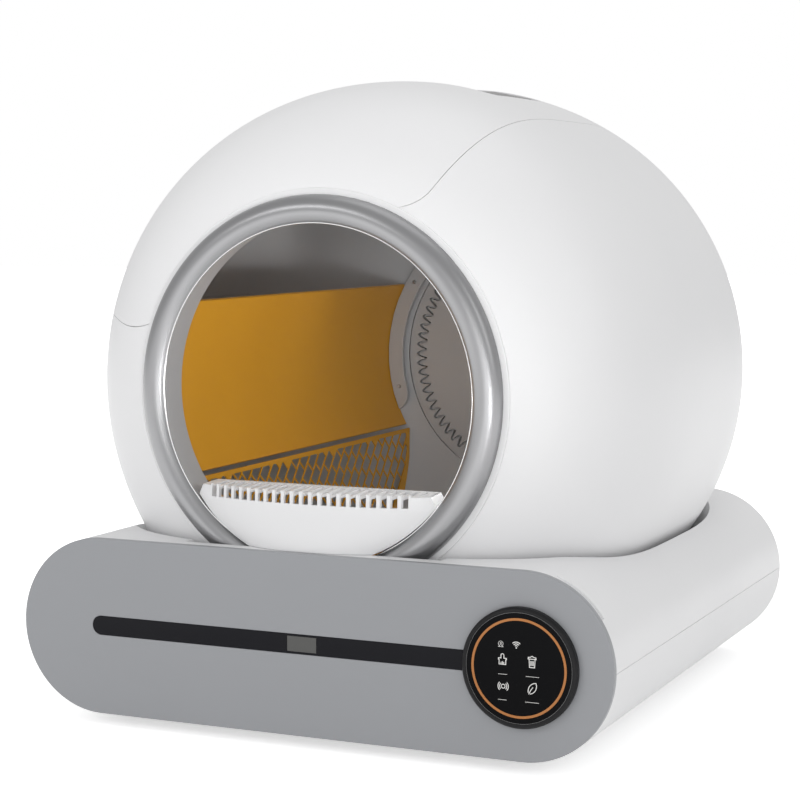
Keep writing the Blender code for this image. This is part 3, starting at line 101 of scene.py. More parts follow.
def moulded_surface():
    """Plastic as it leaves the mould: slow drift of shade and gloss, and a fine grain."""
    group, given, result = new_group("moulded_surface", ("Colour", "Deep Colour"),
                                     ("Roughness", "Gloss Drift", "Drift Scale", "Grain Scale"),
                                     ("Colour",), ("Roughness", "Height"))
    place = add_node(group, "TexCoord")
    slow = add_node(group, "TexNoise", {"Detail": 3})
    fine = add_node(group, "TexNoise", {"Detail": 2})
    mix = add_node(group, "Mix", data_type="RGBA")
    centred = add_node(group, "Math", {1: 0.5}, operation="SUBTRACT")
    drifted = add_node(group, "Math", operation="MULTIPLY_ADD")
    wire(group, (place, "Object", slow, "Vector"), (place, "Object", fine, "Vector"),
         (given, "Drift Scale", slow, "Scale"), (given, "Grain Scale", fine, "Scale"),
         (slow, "Fac", mix, 0), (given, "Colour", mix, "A"), (given, "Deep Colour", mix, "B"),
         (slow, "Fac", centred, 0), (centred, 0, drifted, 0), (given, "Gloss Drift", drifted, 1),
         (given, "Roughness", drifted, 2), (mix, "Result", result, "Colour"),
         (drifted, 0, result, "Roughness"), (fine, "Fac", result, "Height"))
    return group


MOULDED = moulded_surface()
GRAIN_STRENGTH = 0.6


def surfaced(name, group, values, strength, depth, metallic):
    """Material that takes its colour, roughness and relief from a shared group."""
    material = bpy.data.materials.new(name)
    material.use_nodes = True
    tree = material.node_tree
    shader = tree.nodes["Principled BSDF"]
    surface = add_node(tree, "Group", values, node_tree=group)
    bump = add_node(tree, "Bump", {"Strength": strength, "Distance": depth})
    wire(tree, (surface, "Colour", shader, "Base Color"), (surface, "Roughness", shader, "Roughness"),
         (surface, "Height", bump, "Height"), (bump, "Normal", shader, "Normal"))
    shader.inputs["Metallic"].default_value = metallic
    return material


def finish(name, colour, deep, roughness, gloss_drift=0.08, drift_scale=7, grain_scale=900,
           grain_depth=0.02 * MM, metallic=0, specular=0.5):
    """Material for a moulded or coated surface or a plain metal."""
    values = {"Colour": (*colour, 1), "Deep Colour": (*deep, 1), "Roughness": roughness,
              "Gloss Drift": gloss_drift, "Drift Scale": drift_scale, "Grain Scale": grain_scale}
    material = surfaced(name, MOULDED, values, GRAIN_STRENGTH, grain_depth, metallic)
    material.node_tree.nodes["Principled BSDF"].inputs["Specular IOR Level"].default_value = specular
    return material


WHITE_ABS = finish("white_abs", (0.83, 0.83, 0.835), (0.80, 0.80, 0.81), 0.42)


def new_object(name, data):
    """Object with its data, linked into the scene."""
    item = bpy.data.objects.new(name, data)
    bpy.context.collection.objects.link(item)
    return item


def object_from(name, shape):
    """Object from a bmesh, which is used up."""
    mesh = bpy.data.meshes.new(name)
    shape.to_mesh(mesh)
    shape.free()
    return new_object(name, mesh)


def make_piece(name, shape, material, body, slot, *stands_for):
    """Named object from a bmesh, smooth on its curves, that rides on a CAD body."""
    piece = object_from(name, shape)
    piece.data.shade_smooth()
    piece.data.set_sharp_from_angle(angle=SMOOTH_ANGLE)
    piece.data.materials.append(material)
    even = piece.modifiers.new("even_shading", "WEIGHTED_NORMAL")
    even.keep_sharp = True
    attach(piece, body)
    if stands_for:
        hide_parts(*stands_for)
    return piece


def through_modifier(shape, kind, **settings):
    """Put a bmesh through one of Blender's modifiers and take the result back."""
    helper = object_from("helper", shape)
    step = helper.modifiers.new("step", kind)
    for setting, value in settings.items():
        setattr(step, setting, value)
    graph = bpy.context.evaluated_depsgraph_get()
    result = bmesh.new()
    result.from_mesh(helper.evaluated_get(graph).to_mesh())
    bpy.data.objects.remove(helper)
    return result


def outward(shape):
    """Turn the faces of a shape outwards."""
    bmesh.ops.recalc_face_normals(shape, faces=shape.faces)
    return shape


def carved(shape, tool, operation="DIFFERENCE", solver="EXACT"):
    """Cut a closed tool out of a closed shape, or join or intersect the two."""
    helper = object_from("tool", outward(tool))
    result = through_modifier(outward(shape), "BOOLEAN", operation=operation, solver=solver, object=helper)
    bpy.data.objects.remove(helper)
    return result


def block(low, high):
    """Box between two corners."""
    shape = bmesh.new()
    bmesh.ops.create_cube(shape, size=1)
    bmesh.ops.scale(shape, vec=Vector(high) - Vector(low), verts=shape.verts)
    bmesh.ops.translate(shape, vec=(Vector(low) + Vector(high)) / 2, verts=shape.verts)
    return shape


def welded(shape, reach=WELD):
    """Merge the corners that lie within a reach of each other."""
    bmesh.ops.remove_doubles(shape, verts=shape.verts, dist=reach)
    return shape


def bevelled(shape, edges, width, segments, limited=False):
    """Round the given edges of a shape."""
    bmesh.ops.bevel(shape, geom=edges, offset=width, offset_type="OFFSET", segments=segments,
                    profile=0.5, affect="EDGES", clamp_overlap=limited, material=-1)
    return shape


def rounded_block(low, high, radius, axis, steps=ROUND_STEPS):
    """Box whose four edges along one axis are rounded."""
    shape = block(low, high)
    edges = [edge for edge in shape.edges
             if abs((edge.verts[0].co - edge.verts[1].co)[axis]) > 0.5 * abs(high[axis] - low[axis])]
    return bevelled(shape, edges, radius, steps)


def pulled(shape, grown, reach):
    """Move the corners that an extrusion has made."""
    moved = [item for item in grown["geom"] if isinstance(item, bmesh.types.BMVert)]
    bmesh.ops.translate(shape, verts=moved, vec=reach)
    return shape


def extruded(outline, start, end, axis=1):
    """Prism from a closed outline. Along Y it is (x, z), and along Z (x, y)."""
    shape = bmesh.new()
    corners = [shape.verts.new((a, start, b) if axis == 1 else (a, b, start)) for a, b in outline]
    grown = bmesh.ops.extrude_face_region(shape, geom=[shape.faces.new(corners)])
    pulled(shape, grown, (0, end - start, 0) if axis == 1 else (0, 0, end - start))
    return outward(shape)


def base_block(inset, start, end):
    """The base's section, a flat box with fully round sides, between two depths."""
    low = (inset - base_half_width, start, UNDERSIDE + inset)
    high = (base_half_width - inset, end, base_top - inset)
    return rounded_block(low, high, base_radius - inset - ROUND_SLIVER, 1)


def sliced(shape, place, normal):
    """Take away what lies on the normal's side of a plane, and close the cut."""
    everything = shape.verts[:] + shape.edges[:] + shape.faces[:]
    done = bmesh.ops.bisect_plane(shape, geom=everything, dist=WELD, plane_co=place, plane_no=normal,
                                  clear_outer=True)
    rim = [item for item in done["geom_cut"] if isinstance(item, bmesh.types.BMEdge)]
    bmesh.ops.contextual_create(shape, geom=rim)
    return shape


def eased(shape, width, segments=2):
    """Break the sharp edges of a moulding with a small round."""
    outward(welded(shape))
    edges = [edge for edge in shape.edges
             if len(edge.link_faces) == 2 and edge.calc_face_angle(0) > EASED_ANGLE]
    return bevelled(shape, edges, width, segments, limited=True)


tub = base_block(0, lower_low.y, lower_high.y)
tub = sliced(tub, (0, 0, lower_high.z), (0, 0, 1))
trough = base_block(BASE_WALL, lower_low.y - OVERRUN, lower_high.y - BASE_WALL)
tub = carved(tub, trough)
make_piece("base_tub", eased(tub, TUB_EDGE), WHITE_ABS, "base", "shell_white", "base_lower_shell")

# Feet
# Black rubber pads pressed into the underside, one at each corner of the base.
RUBBER = finish("black_rubber", (0.030, 0.030, 0.031), (0.020, 0.020, 0.021), 0.78,
                grain_scale=1500, grain_depth=0.05 * MM)
FINE_EDGE = 0.1 * MM
SMALL_EDGE = 0.2 * MM
SOFT_EDGE = 0.3 * MM
WIDE_EDGE = 0.8 * MM
FOOT_EDGE = 1 * MM
FLAT_ANGLE = math.radians(1)


def joined_flats(shape):
    """Merge doubled corners, and join faces that lie in one plane."""
    welded(shape)
    bmesh.ops.dissolve_limit(shape, angle_limit=FLAT_ANGLE, verts=shape.verts, edges=shape.edges)
    return shape


def trimmed_copy(node, width):
    """The CAD node's own shape, with its flat faces joined and its edges eased."""
    shape = bmesh.new()
    shape.from_mesh(frame["nodes"][node].data)
    return eased(joined_flats(shape), width)


def copied(name, node, width, material, body, slot):
    """Piece that is the CAD node's own shape with eased edges."""
    make_piece(name, trimmed_copy(node, width), material, body, slot, node)


SIDES = ("left", "right")
ROWS = ("front", "rear")
for row in ROWS:
    for side in SIDES:
        copied(f"foot_pad_{row}_{side}", f"rubber_foot_{row}_{side}", FOOT_EDGE, RUBBER, "base",
               "black_rubber")

# Roller brackets, axles and rollers
# Nylon brackets on the side walls carry a steel axle each; two rubber rollers
# turn on every axle and bear the globe.
NYLON = finish("natural_nylon", (0.76, 0.75, 0.70), (0.70, 0.69, 0.64), 0.48, grain_scale=700)
STEEL = finish("drawn_steel", (0.58, 0.58, 0.57), (0.50, 0.50, 0.50), 0.30, grain_scale=1200,
               metallic=1)
for side in SIDES:
    copied(f"bracket_{side}", f"roller_bracket_{side}", SOFT_EDGE, NYLON, "base", "nylon")
    copied(f"axle_{side}", f"roller_axle_{side}", SMALL_EDGE, STEEL, "base", "steel")
    for row in ROWS:
        node = f"roller_{row}_{side}"
        copied(f"{node}_tyre", node, SMALL_EDGE, RUBBER, node, "black_rubber")

# Base upper shell
# White ABS lid of the base. The globe turns in its round pocket, which has a
# skirt round it, and the drawer goes in under its front wall.
GLOBE_RADIUS = 257.2 * MM
GLOBE_HALF_DEPTH = 249 * MM
GLOBE_POWER = 3.57
GLOBE_STEPS = 192
GLOBE_ROWS = 60
DISC_STEPS = 96
POCKET_CLEARANCE = 5.9 * MM
SKIRT_WALL = 2.4 * MM
SKIRT_LOW = UNDERSIDE + 120 * MM
LEDGE_DEPTH = 16.4 * MM
LEDGE_WALL = 2.5 * MM
FRONT_WALL = 4.2 * MM
FRONT_WALL_LOW = UNDERSIDE + 84.5 * MM
RING_POCKET_DEPTH = 60 * MM
RING_POCKET_GAP = 4.2 * MM
bezel_low, bezel_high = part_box("display_bezel")
BEZEL_RADIUS = (bezel_high.x - bezel_low.x) / 2
DISPLAY_X = (bezel_high.x + bezel_low.x) / 2
drum = Vector(next(joint for joint in frame["joints"] if joint["name"] == "drum_spin")["pos_m"])
collar_low, collar_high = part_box("mouth_collar")
collar_radius = collar_high.x


def globe_points(inset, front_radius, rear_radius, rows=GLOBE_ROWS):
    """(radius, depth) points along the globe's skin, from the front to the rear."""
    wide = GLOBE_RADIUS - inset
    deep = GLOBE_HALF_DEPTH - inset
    first = math.asin((front_radius / wide) ** (GLOBE_POWER / 2))
    last = math.pi - math.asin((rear_radius / wide) ** (GLOBE_POWER / 2))
    points = []
    for row in range(rows + 1):
        turn = first + (last - first) * row / rows
        across, along = math.sin(turn), math.cos(turn)
        reach = math.copysign(abs(along) ** (2 / GLOBE_POWER), along)
        points.append((wide * max(across, 0) ** (2 / GLOBE_POWER), drum.y - deep * reach))
    return points


def turned(points, closed=True, steps=GLOBE_STEPS, centre=drum):
    """Spin (radius, depth) points about an axis that runs from front to back."""
    shape = bmesh.new()
    corners = [shape.verts.new((radius, depth, 0)) for radius, depth in points]
    ends = corners[1:] + corners[:1] if closed else corners[1:]
    for near, far in zip(corners, ends):
        if max(abs(near.co.x), abs(far.co.x)) > ON_AXIS:
            shape.edges.new((near, far))
    bmesh.ops.spin(shape, geom=shape.verts[:] + shape.edges[:], cent=(0, 0, 0), axis=(0, 1, 0),
                   angle=math.tau, steps=steps, use_merge=True)
    welded(shape, FINE_WELD)
    bmesh.ops.translate(shape, verts=shape.verts, vec=(centre.x, 0, centre.z))
    return outward(shape)


def whole_globe(inset):
    """The globe as one closed body, for cutting room round it."""
    return turned(globe_points(inset, 0, 0), closed=False)


def ring_section(inner, outer, start, end):
    """Corners of a rectangular (radius, depth) section."""
    return [(inner, start), (outer, start), (outer, end), (inner, end)]


def disc(radius, start, end, centre=drum, steps=DISC_STEPS):
    """Solid disc about an axis from front to back, between two depths."""
    return turned(ring_section(0, radius, start, end), steps=steps, centre=centre)


lid = sliced(base_block(0, lower_low.y, lower_high.y), (0, 0, lid_low.z), (0, 0, -1))
front_wall_back = lower_low.y + FRONT_WALL
ledge = FRONT + LEDGE_DEPTH
pocket_end = FRONT + RING_POCKET_DEPTH
skirt = whole_globe(-POCKET_CLEARANCE - SKIRT_WALL)
ring_room_radius = collar_radius + RING_POCKET_GAP
skirt = carved(skirt, disc(ring_room_radius + SKIRT_WALL, ledge - LEDGE_WALL, pocket_end), "UNION",
               "MANIFOLD")
skirt_zone = block((-FAR, -FAR, SKIRT_LOW), (FAR, FAR, base_top + 10 * OVERRUN))
skirt = carved(skirt, skirt_zone, "INTERSECT", "MANIFOLD")
hollow = base_block(BASE_WALL, front_wall_back, lower_high.y - BASE_WALL)
hollow = carved(hollow, skirt, "DIFFERENCE", "MANIFOLD")
ring_room = disc(ring_room_radius, ledge, pocket_end)
drawer_way = sliced(base_block(BASE_WALL, lower_low.y - OVERRUN, front_wall_back + OVERRUN),
                    (0, 0, FRONT_WALL_LOW), (0, 0, 1))
display_centre = Vector((DISPLAY_X, 0, base_middle))
display_room = disc(BEZEL_RADIUS, FRONT - OVERRUN, front_wall_back + OVERRUN, display_centre)

RECESS_DEPTH = 1.8 * MM
RECESS_LENGTH = 5.5 * MM
RECESS_START = math.radians(33)
RECESS_FLOOR_END = math.radians(62)
RECESS_END = math.radians(84)
RECESS_STEPS = 16


def arc(across, up, radius, start, end, steps):
    """Points on an arc about a centre, by the angle from the right."""
    turns = [start + (end - start) * step / steps for step in range(steps + 1)]
    return [(across + radius * math.cos(turn), up + radius * math.sin(turn)) for turn in turns]


recess = arc(DISPLAY_X, base_middle, base_radius - RECESS_DEPTH, RECESS_START, RECESS_FLOOR_END,
             RECESS_STEPS)
recess += arc(DISPLAY_X, base_middle, base_radius + OVERRUN, RECESS_END, RECESS_START, RECESS_STEPS)
recess_tool = extruded(recess, lower_low.y - OVERRUN, lower_low.y + RECESS_LENGTH)
for tool in (hollow, whole_globe(-POCKET_CLEARANCE), ring_room, drawer_way, display_room, recess_tool):
    lid = carved(lid, tool, "DIFFERENCE", "MANIFOLD")
make_piece("base_lid", welded(lid), WHITE_ABS, "base", "shell_white", "base_upper_shell")

# Drive at the back
# Worm gearmotor with a nylon pinion on its steel shaft, inside a white cover
# at the back of the base, with the control board and the power socket.
DARK_PLASTIC = finish("dark_plastic", (0.008, 0.008, 0.009), (0.012, 0.012, 0.013), 0.40, specular=0.2)
BOARD_GREEN = finish("solder_mask", (0.018, 0.15, 0.06), (0.012, 0.11, 0.045), 0.35,
                     drift_scale=60, gloss_drift=0.2)
MOTOR_EDGE = 0.5 * MM
copied("drive_housing", "rear_drive_cover", WIDE_EDGE, WHITE_ABS, "base", "shell_white")
copied("gearmotor_case", "gearmotor", MOTOR_EDGE, DARK_PLASTIC, "base", "dark_plastic")
copied("main_board", "control_board", SMALL_EDGE, BOARD_GREEN, "base", "circuit_board")
copied("dc_socket", "power_socket", SMALL_EDGE, DARK_PLASTIC, "base", "dark_plastic")
copied("pinion", "drive_pinion", SOFT_EDGE, NYLON, "pinion", "nylon")
copied("pinion_shaft", "drive_shaft", SMALL_EDGE, STEEL, "pinion", "steel")

# Globe shells
# The white globe is two mouldings: a fixed one, and a cover between two fine
# seams that comes off for cleaning. Near the entrance both seams bend towards it.
SHELL_WALL = 3.4 * MM
SEAM_RIGHT = math.radians(30)
SEAM_LEFT = math.radians(-75)
SEAM_HALF_GAP = 0.22 * MM
SEAM_MATCH = 1e-4
BEND_RIGHT = math.radians(-6.6)
BEND_LEFT = math.radians(5.1)
BEND_START_RIGHT = 190 * MM
BEND_START_LEFT = 204 * MM
BEND_SPAN_RIGHT = 30 * MM
BEND_SPAN_LEFT = 45 * MM
BEND_POWER = 2.6
BEND_FADE = math.radians(35)
HUB_OUTER_RADIUS = 164.8 * MM
COLLAR_SEAM = 0.15 * MM
HUB_INNER_RADIUS = 129 * MM
HUB_ROWS = 5


def about_axis(place):
    """Angle from straight up, positive to the right, and radius, about the drum's axis."""
    x, z = place.x - drum.x, place.z - drum.z
    return math.atan2(x, z), math.hypot(x, z)


def seam_bend(angle, radius, depth):
    """How far the seams' bend turns a point of the front."""
    if depth > drum.y:
        return 0
    turn = 0
    for seam, most, start, span in ((SEAM_RIGHT, BEND_RIGHT, BEND_START_RIGHT, BEND_SPAN_RIGHT),
                                    (SEAM_LEFT, BEND_LEFT, BEND_START_LEFT, BEND_SPAN_LEFT)):
        near = max(0, 1 - abs(angle - seam) / BEND_FADE)
        turn += most * near * max(0, (start - radius) / span) ** BEND_POWER
    return turn


def globe_skin(inset, wall, cover):
    """One of the two shells of a skin layer, with its wall, parted along the seams."""
    front = collar_radius + COLLAR_SEAM if inset == 0 else HUB_OUTER_RADIUS
    points = globe_points(inset, front, HUB_OUTER_RADIUS)
    if not cover:
        step = (HUB_OUTER_RADIUS - HUB_INNER_RADIUS) / HUB_ROWS
        for row in range(1, HUB_ROWS + 1):
            radius = HUB_OUTER_RADIUS - step * row
            share = (1 - (radius / (GLOBE_RADIUS - inset)) ** GLOBE_POWER) ** (1 / GLOBE_POWER)
            points.append((radius, drum.y + (GLOBE_HALF_DEPTH - inset) * share))
    shape = turned(points, closed=False)
    unwanted = []
    for face in shape.faces:
        angle, radius = about_axis(face.calc_center_median())
        in_hub = radius < HUB_OUTER_RADIUS and face.calc_center_median().y > drum.y
        in_cover = SEAM_LEFT < angle < SEAM_RIGHT and not in_hub
        if in_cover != cover:
            unwanted.append(face)
    bmesh.ops.delete(shape, geom=unwanted, context="FACES")
    middle = Vector(drum)
    if sum(face.normal.dot(face.calc_center_median() - middle) for face in shape.faces) < 0:
        bmesh.ops.reverse_faces(shape, faces=shape.faces)
    for corner in shape.verts:
        angle, radius = about_axis(corner.co)
        turn = seam_bend(angle, radius, corner.co.y)
        for seam, side in ((SEAM_RIGHT, 1), (SEAM_LEFT, -1)):
            if corner.is_boundary and abs(angle - seam) < SEAM_MATCH and radius > HUB_OUTER_RADIUS - MM:
                turn += (-side if cover else side) * SEAM_HALF_GAP / radius
        turned_by = Matrix.Rotation(turn, 4, "Y")
        corner.co = middle + turned_by @ (corner.co - middle)
    return through_modifier(shape, "SOLIDIFY", thickness=wall, offset=-1, use_even_offset=True)


fixed_shell = eased(globe_skin(0, SHELL_WALL, False), SMALL_EDGE, segments=1)
make_piece("globe_fixed_shell", fixed_shell, WHITE_ABS, "drum", "shell_white", "globe_lower_shell")

PORT_HALF_WIDTH = 81.5 * MM
PORT_HALF_DEPTH = 64 * MM
PORT_CORNER = 15 * MM
PORT_STEPS = 12
PORT_LOW_SHARE = 0.8


def port_tool():
    """Rounded opening of the waste port, straight down through the top of the globe."""
    low = (-PORT_HALF_WIDTH, drum.y - PORT_HALF_DEPTH, drum.z + GLOBE_RADIUS * PORT_LOW_SHARE)
    high = (PORT_HALF_WIDTH, drum.y + PORT_HALF_DEPTH, drum.z + GLOBE_RADIUS + OVERRUN)
    return rounded_block(low, high, PORT_CORNER, 2, PORT_STEPS)


lift_off_cover = carved(globe_skin(0, SHELL_WALL, True), port_tool())
make_piece("globe_lift_off_cover", eased(lift_off_cover, SMALL_EDGE, segments=1), WHITE_ABS, "drum",
           "shell_white", "globe_cover")

# Globe liners
# Grey inner mouldings that are snapped into the white shells, so that the
# inside wipes clean. They part along the same seams.
LINER_INSET = 3.8 * MM
LINER_WALL = 3.7 * MM
LINER_GREY = finish("liner_grey", (0.46, 0.46, 0.465), (0.43, 0.43, 0.435), 0.48,
                    grain_scale=1100, grain_depth=0.03 * MM)
make_piece("inner_liner", globe_skin(LINER_INSET, LINER_WALL, False), LINER_GREY, "drum",
           "liner_grey", "drum_liner")
make_piece("inner_cover_liner", carved(globe_skin(LINER_INSET, LINER_WALL, True), port_tool()),
           LINER_GREY, "drum", "liner_grey", "cover_liner")
copied("port_surround", "port_frame", SMALL_EDGE, LINER_GREY, "drum", "liner_grey")

# Entrance ring, collar and throat
# Satin silver ring on a narrow white collar, with a grey throat behind that
# guides the cat in. A small round on the ring's inner edge carries a painted highlight, a colour much
# lighter than the ring.
RING_INNER_RADIUS = 136.4 * MM
RING_SET_BACK = 23.4 * MM
RING_SAGITTA = 8.5 * MM
RING_EDGE = 1.4 * MM
RING_SEAT_RADIUS = 141.2 * MM
RING_ARC_STEPS = 28
RING_LAND = 0.3 * MM
RING_BREAK = 0.35 * MM
ring_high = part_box("mouth_ring")[1]
lip_low, lip_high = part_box("mouth_lip")
ring_inner_depth = FRONT + RING_SET_BACK
RING_FINISH_SCALE = 2600
RING_FINISH_STRENGTH = 0.4
RING_FINISH_DEPTH = 0.004 * MM
RING_GLOSS_DRIFT = 0.05
RING_CLOUD_SCALE = 14


def turned_metal():
    """Satin coating over fine rings about the drum's axis, as turning and brushing leave them."""
    group, given, result = new_group("turned_metal", ("Colour", "Worn Colour"), ("Roughness", "Ring Scale"),
                                     ("Colour",), ("Roughness", "Height"))
    place = add_node(group, "TexCoord")
    centred = add_node(group, "VectorMath", {1: (drum.x, 0, drum.z)}, operation="SUBTRACT")
    split = add_node(group, "SeparateXYZ")
    level = add_node(group, "CombineXYZ")
    radius = add_node(group, "VectorMath", operation="LENGTH")
    rings = add_node(group, "CombineXYZ")
    lines = add_node(group, "TexNoise", {"Detail": 4})
    cloud = add_node(group, "TexNoise", {"Scale": RING_CLOUD_SCALE})
    mix = add_node(group, "Mix", data_type="RGBA")
    rough = add_node(group, "MapRange", {"To Min": -RING_GLOSS_DRIFT, "To Max": RING_GLOSS_DRIFT})
    total = add_node(group, "Math", operation="ADD")
    wire(group, (place, "Object", centred, 0), (centred, 0, split, 0), (split, "X", level, "X"),
         (split, "Z", level, "Z"), (level, 0, radius, 0), (radius, "Value", rings, "X"),
         (split, "Y", rings, "Y"), (rings, 0, lines, "Vector"), (given, "Ring Scale", lines, "Scale"),
         (place, "Object", cloud, "Vector"), (cloud, "Fac", mix, 0), (given, "Colour", mix, "A"),
         (given, "Worn Colour", mix, "B"), (lines, "Fac", rough, "Value"), (rough, 0, total, 0),
         (given, "Roughness", total, 1), (mix, "Result", result, "Colour"),
         (total, 0, result, "Roughness"), (lines, "Fac", result, "Height"))
    return group


SATIN_SILVER = surfaced("satin_silver", turned_metal(),
                        {"Colour": (0.32, 0.32, 0.327, 1), "Worn Colour": (0.285, 0.285, 0.292, 1),
                         "Roughness": 0.34, "Ring Scale": RING_FINISH_SCALE},
                        RING_FINISH_STRENGTH, RING_FINISH_DEPTH, metallic=0.9)


def bulged(start, end, sagitta, steps):
    """Points on the arc from start to end that bulges forward by its sagitta."""
    start, end = Vector(start), Vector(end)
    along = end - start
    half = along.length / 2
    radius = (half * half + sagitta * sagitta) / (2 * sagitta)
    side = Vector((along.y, -along.x)).normalized()
    centre = start + along / 2 - side * (radius - sagitta)
    first = math.atan2(start.y - centre.y, start.x - centre.x)
    sweep = 2 * math.asin(min(1, half / radius))
    if sagitta > radius:
        sweep = math.tau - sweep
    return arc(centre.x, centre.y, radius, first, first + sweep, steps)


ring_points = bulged((RING_INNER_RADIUS, ring_inner_depth), (ring_high.x, ring_high.y - RING_LAND),
                     RING_SAGITTA, RING_ARC_STEPS)
ring_points += [(ring_high.x, ring_high.y), (RING_SEAT_RADIUS, ring_high.y),
                (RING_SEAT_RADIUS, ring_inner_depth + RING_EDGE),
                (RING_INNER_RADIUS, ring_inner_depth + RING_EDGE)]
make_piece("entrance_ring", eased(turned(ring_points), RING_BREAK), SATIN_SILVER, "drum",
           "satin_silver", "mouth_ring")
# Painted highlight: the bead's near-white colour stands in for the bright line of light along the ring's
# inner edge.
PAINTED_EDGE_HIGHLIGHT = finish("painted_highlight_edge", (0.86, 0.86, 0.86), (0.80, 0.80, 0.80), 0.22, gloss_drift=0.04,
                  grain_depth=0.002 * MM, metallic=0.7)
BEAD_RADIUS = 0.5 * MM
BEAD_STEPS = 10
bead_points = arc(RING_INNER_RADIUS, ring_inner_depth, BEAD_RADIUS, 0, math.tau, BEAD_STEPS)
make_piece("ring_inner_bead", turned(bead_points[:-1]), PAINTED_EDGE_HIGHLIGHT, "drum", "satin_silver")

LIP_WALL = 3 * MM
LIP_EDGE = 0.4 * MM
COLLAR_EDGE = 0.9 * MM
lip_end_radius = lip_high.x - LIP_WALL
lip_points = [(RING_INNER_RADIUS, lip_low.y), (lip_end_radius, lip_high.y), (lip_high.x, lip_high.y),
              (RING_INNER_RADIUS + LIP_WALL, lip_low.y)]
make_piece("entrance_throat", eased(turned(lip_points), LIP_EDGE), LINER_GREY, "drum",
           "liner_grey", "mouth_lip")
lip_slope = (lip_end_radius - RING_INNER_RADIUS) / (lip_high.y - lip_low.y)
COLLAR_GAP = 0.3 * MM


def throat_outside(depth):
    """Radius that just clears the throat at a depth."""
    return RING_INNER_RADIUS + LIP_WALL + lip_slope * (depth - lip_low.y) + COLLAR_GAP


collar_points = [(throat_outside(collar_low.y), collar_low.y), (collar_radius, collar_low.y),
                 (collar_radius, collar_high.y), (throat_outside(collar_high.y), collar_high.y)]
make_piece("ring_carrier", eased(turned(collar_points), COLLAR_EDGE, segments=4), WHITE_ABS, "drum",
           "shell_white", "mouth_collar")

# Litter sheet
# Amber plastic sheet, curved about the globe's axis, that turns the litter over
# as the globe rotates. It runs from the throat to the back wall.
SHEET_INNER_RADIUS = 147.3 * MM
SHEET_THICKNESS = 3 * MM
SHEET_TOP = math.radians(-61.5)
SHEET_BOTTOM = math.radians(-119.5)
SHEET_STEPS = 48
SHEET_EDGE = 0.5 * MM
sheet_low, sheet_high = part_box("litter_liner")
AMBER = finish("amber_plastic", (0.74, 0.345, 0.010), (0.66, 0.30, 0.008), 0.36, drift_scale=9,
               gloss_drift=0.1)


def swept(section, start, end, steps):
    """Sweep a closed (radius, depth) section about the drum's axis between two angles."""
    shape = bmesh.new()
    corners = [shape.verts.new((radius * math.sin(start), depth, radius * math.cos(start)))
               for radius, depth in section]
    face = shape.faces.new(corners)
    bmesh.ops.spin(shape, geom=[face], cent=(0, 0, 0), axis=(0, 1, 0), angle=end - start,
                   steps=steps, use_duplicate=False)
    shape.faces.new([shape.verts.new(corner.co) for corner in corners])
    welded(shape, FINE_WELD)
    bmesh.ops.translate(shape, verts=shape.verts, vec=(drum.x, 0, drum.z))
    return outward(shape)


sheet_section = ring_section(SHEET_INNER_RADIUS, SHEET_INNER_RADIUS + SHEET_THICKNESS, sheet_low.y,
                             sheet_high.y)
sheet = eased(swept(sheet_section, SHEET_BOTTOM, SHEET_TOP, SHEET_STEPS), SHEET_EDGE)
make_piece("litter_sheet", sheet, AMBER, "drum", "amber", "litter_liner")

# Sifting screen
# Upright amber lattice that sieves the litter and keeps the clumps. Its long
# bars lean to the rear, and the short bars between them are staggered.
SIEVE_THICKNESS = 1.2 * MM
SIEVE_BAR = 1.4 * MM
SIEVE_RIM = 4 * MM
SIEVE_LOW_RIM = 8 * MM
SIEVE_GAP = 0.9 * MM
SIEVE_EDGE = 0.15 * MM
CELL_ROWS = range(-2, 28)
CELL_UP = Vector((10.5, 13.7)) * MM
CELL_ACROSS = Vector((11.5, -9.45)) * MM
sieve_low, sieve_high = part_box("sifting_screen")


def chord(radius):
    """Height of the sieve's lower edge where the globe's inside has this radius."""
    return drum.z - math.sqrt(max(0, radius * radius - sieve_low.x * sieve_low.x))


def sieve_outline(rim, low_rim=0):
    """(depth, height) outline of the sieve, drawn in by its rims."""
    gap = rim + SIEVE_GAP
    under_throat = chord(lip_high.x + gap)
    start = lip_high.y + gap
    points = [(start, sieve_high.z - rim), (start, under_throat), (sieve_low.y + rim, under_throat)]
    for radius, depth in globe_points(LINER_INSET + LINER_WALL + gap, collar_radius, HUB_OUTER_RADIUS):
        height = chord(radius) + low_rim
        if height < under_throat and depth > sieve_low.y + rim + SIEVE_GAP:
            points.append((min(depth, sieve_high.y - rim), height))
    return points + [(sieve_high.y - rim, sieve_high.z - rim)]


def upright(outlines, start, end):
    """Prisms that stand across X, from closed (depth, height) outlines."""
    shape = bmesh.new()
    for outline in outlines:
        shape.faces.new([shape.verts.new((start, depth, height)) for depth, height in outline])
    pulled(shape, bmesh.ops.extrude_face_region(shape, geom=shape.faces[:]), (end - start, 0, 0))
    return outward(shape)


cell_outlines = []
first_cell = Vector((sieve_high.y, sieve_high.z))
bar_up = CELL_UP.normalized() * SIEVE_BAR / 2
bar_across = CELL_ACROSS.normalized() * SIEVE_BAR / 2
for line in range(int((sieve_high.y - sieve_low.y) / CELL_ACROSS.x) + 2):
    for row in CELL_ROWS:
        start = first_cell - line * (CELL_ACROSS + CELL_UP / 2) - (row - line // 2) * CELL_UP
        middle = start + (CELL_UP + CELL_ACROSS) / 2
        if sieve_low.y < middle.x < sieve_high.y and sieve_low.z < middle.y < sieve_high.z:
            cell_outlines.append([start + bar_up + bar_across, start + CELL_ACROSS + bar_up - bar_across,
                                  start + CELL_ACROSS + CELL_UP - bar_up - bar_across,
                                  start + CELL_UP - bar_up + bar_across])
sieve_back = sieve_high.x - SIEVE_THICKNESS
sieve_cells = upright(cell_outlines, sieve_back - OVERRUN, sieve_high.x + OVERRUN)
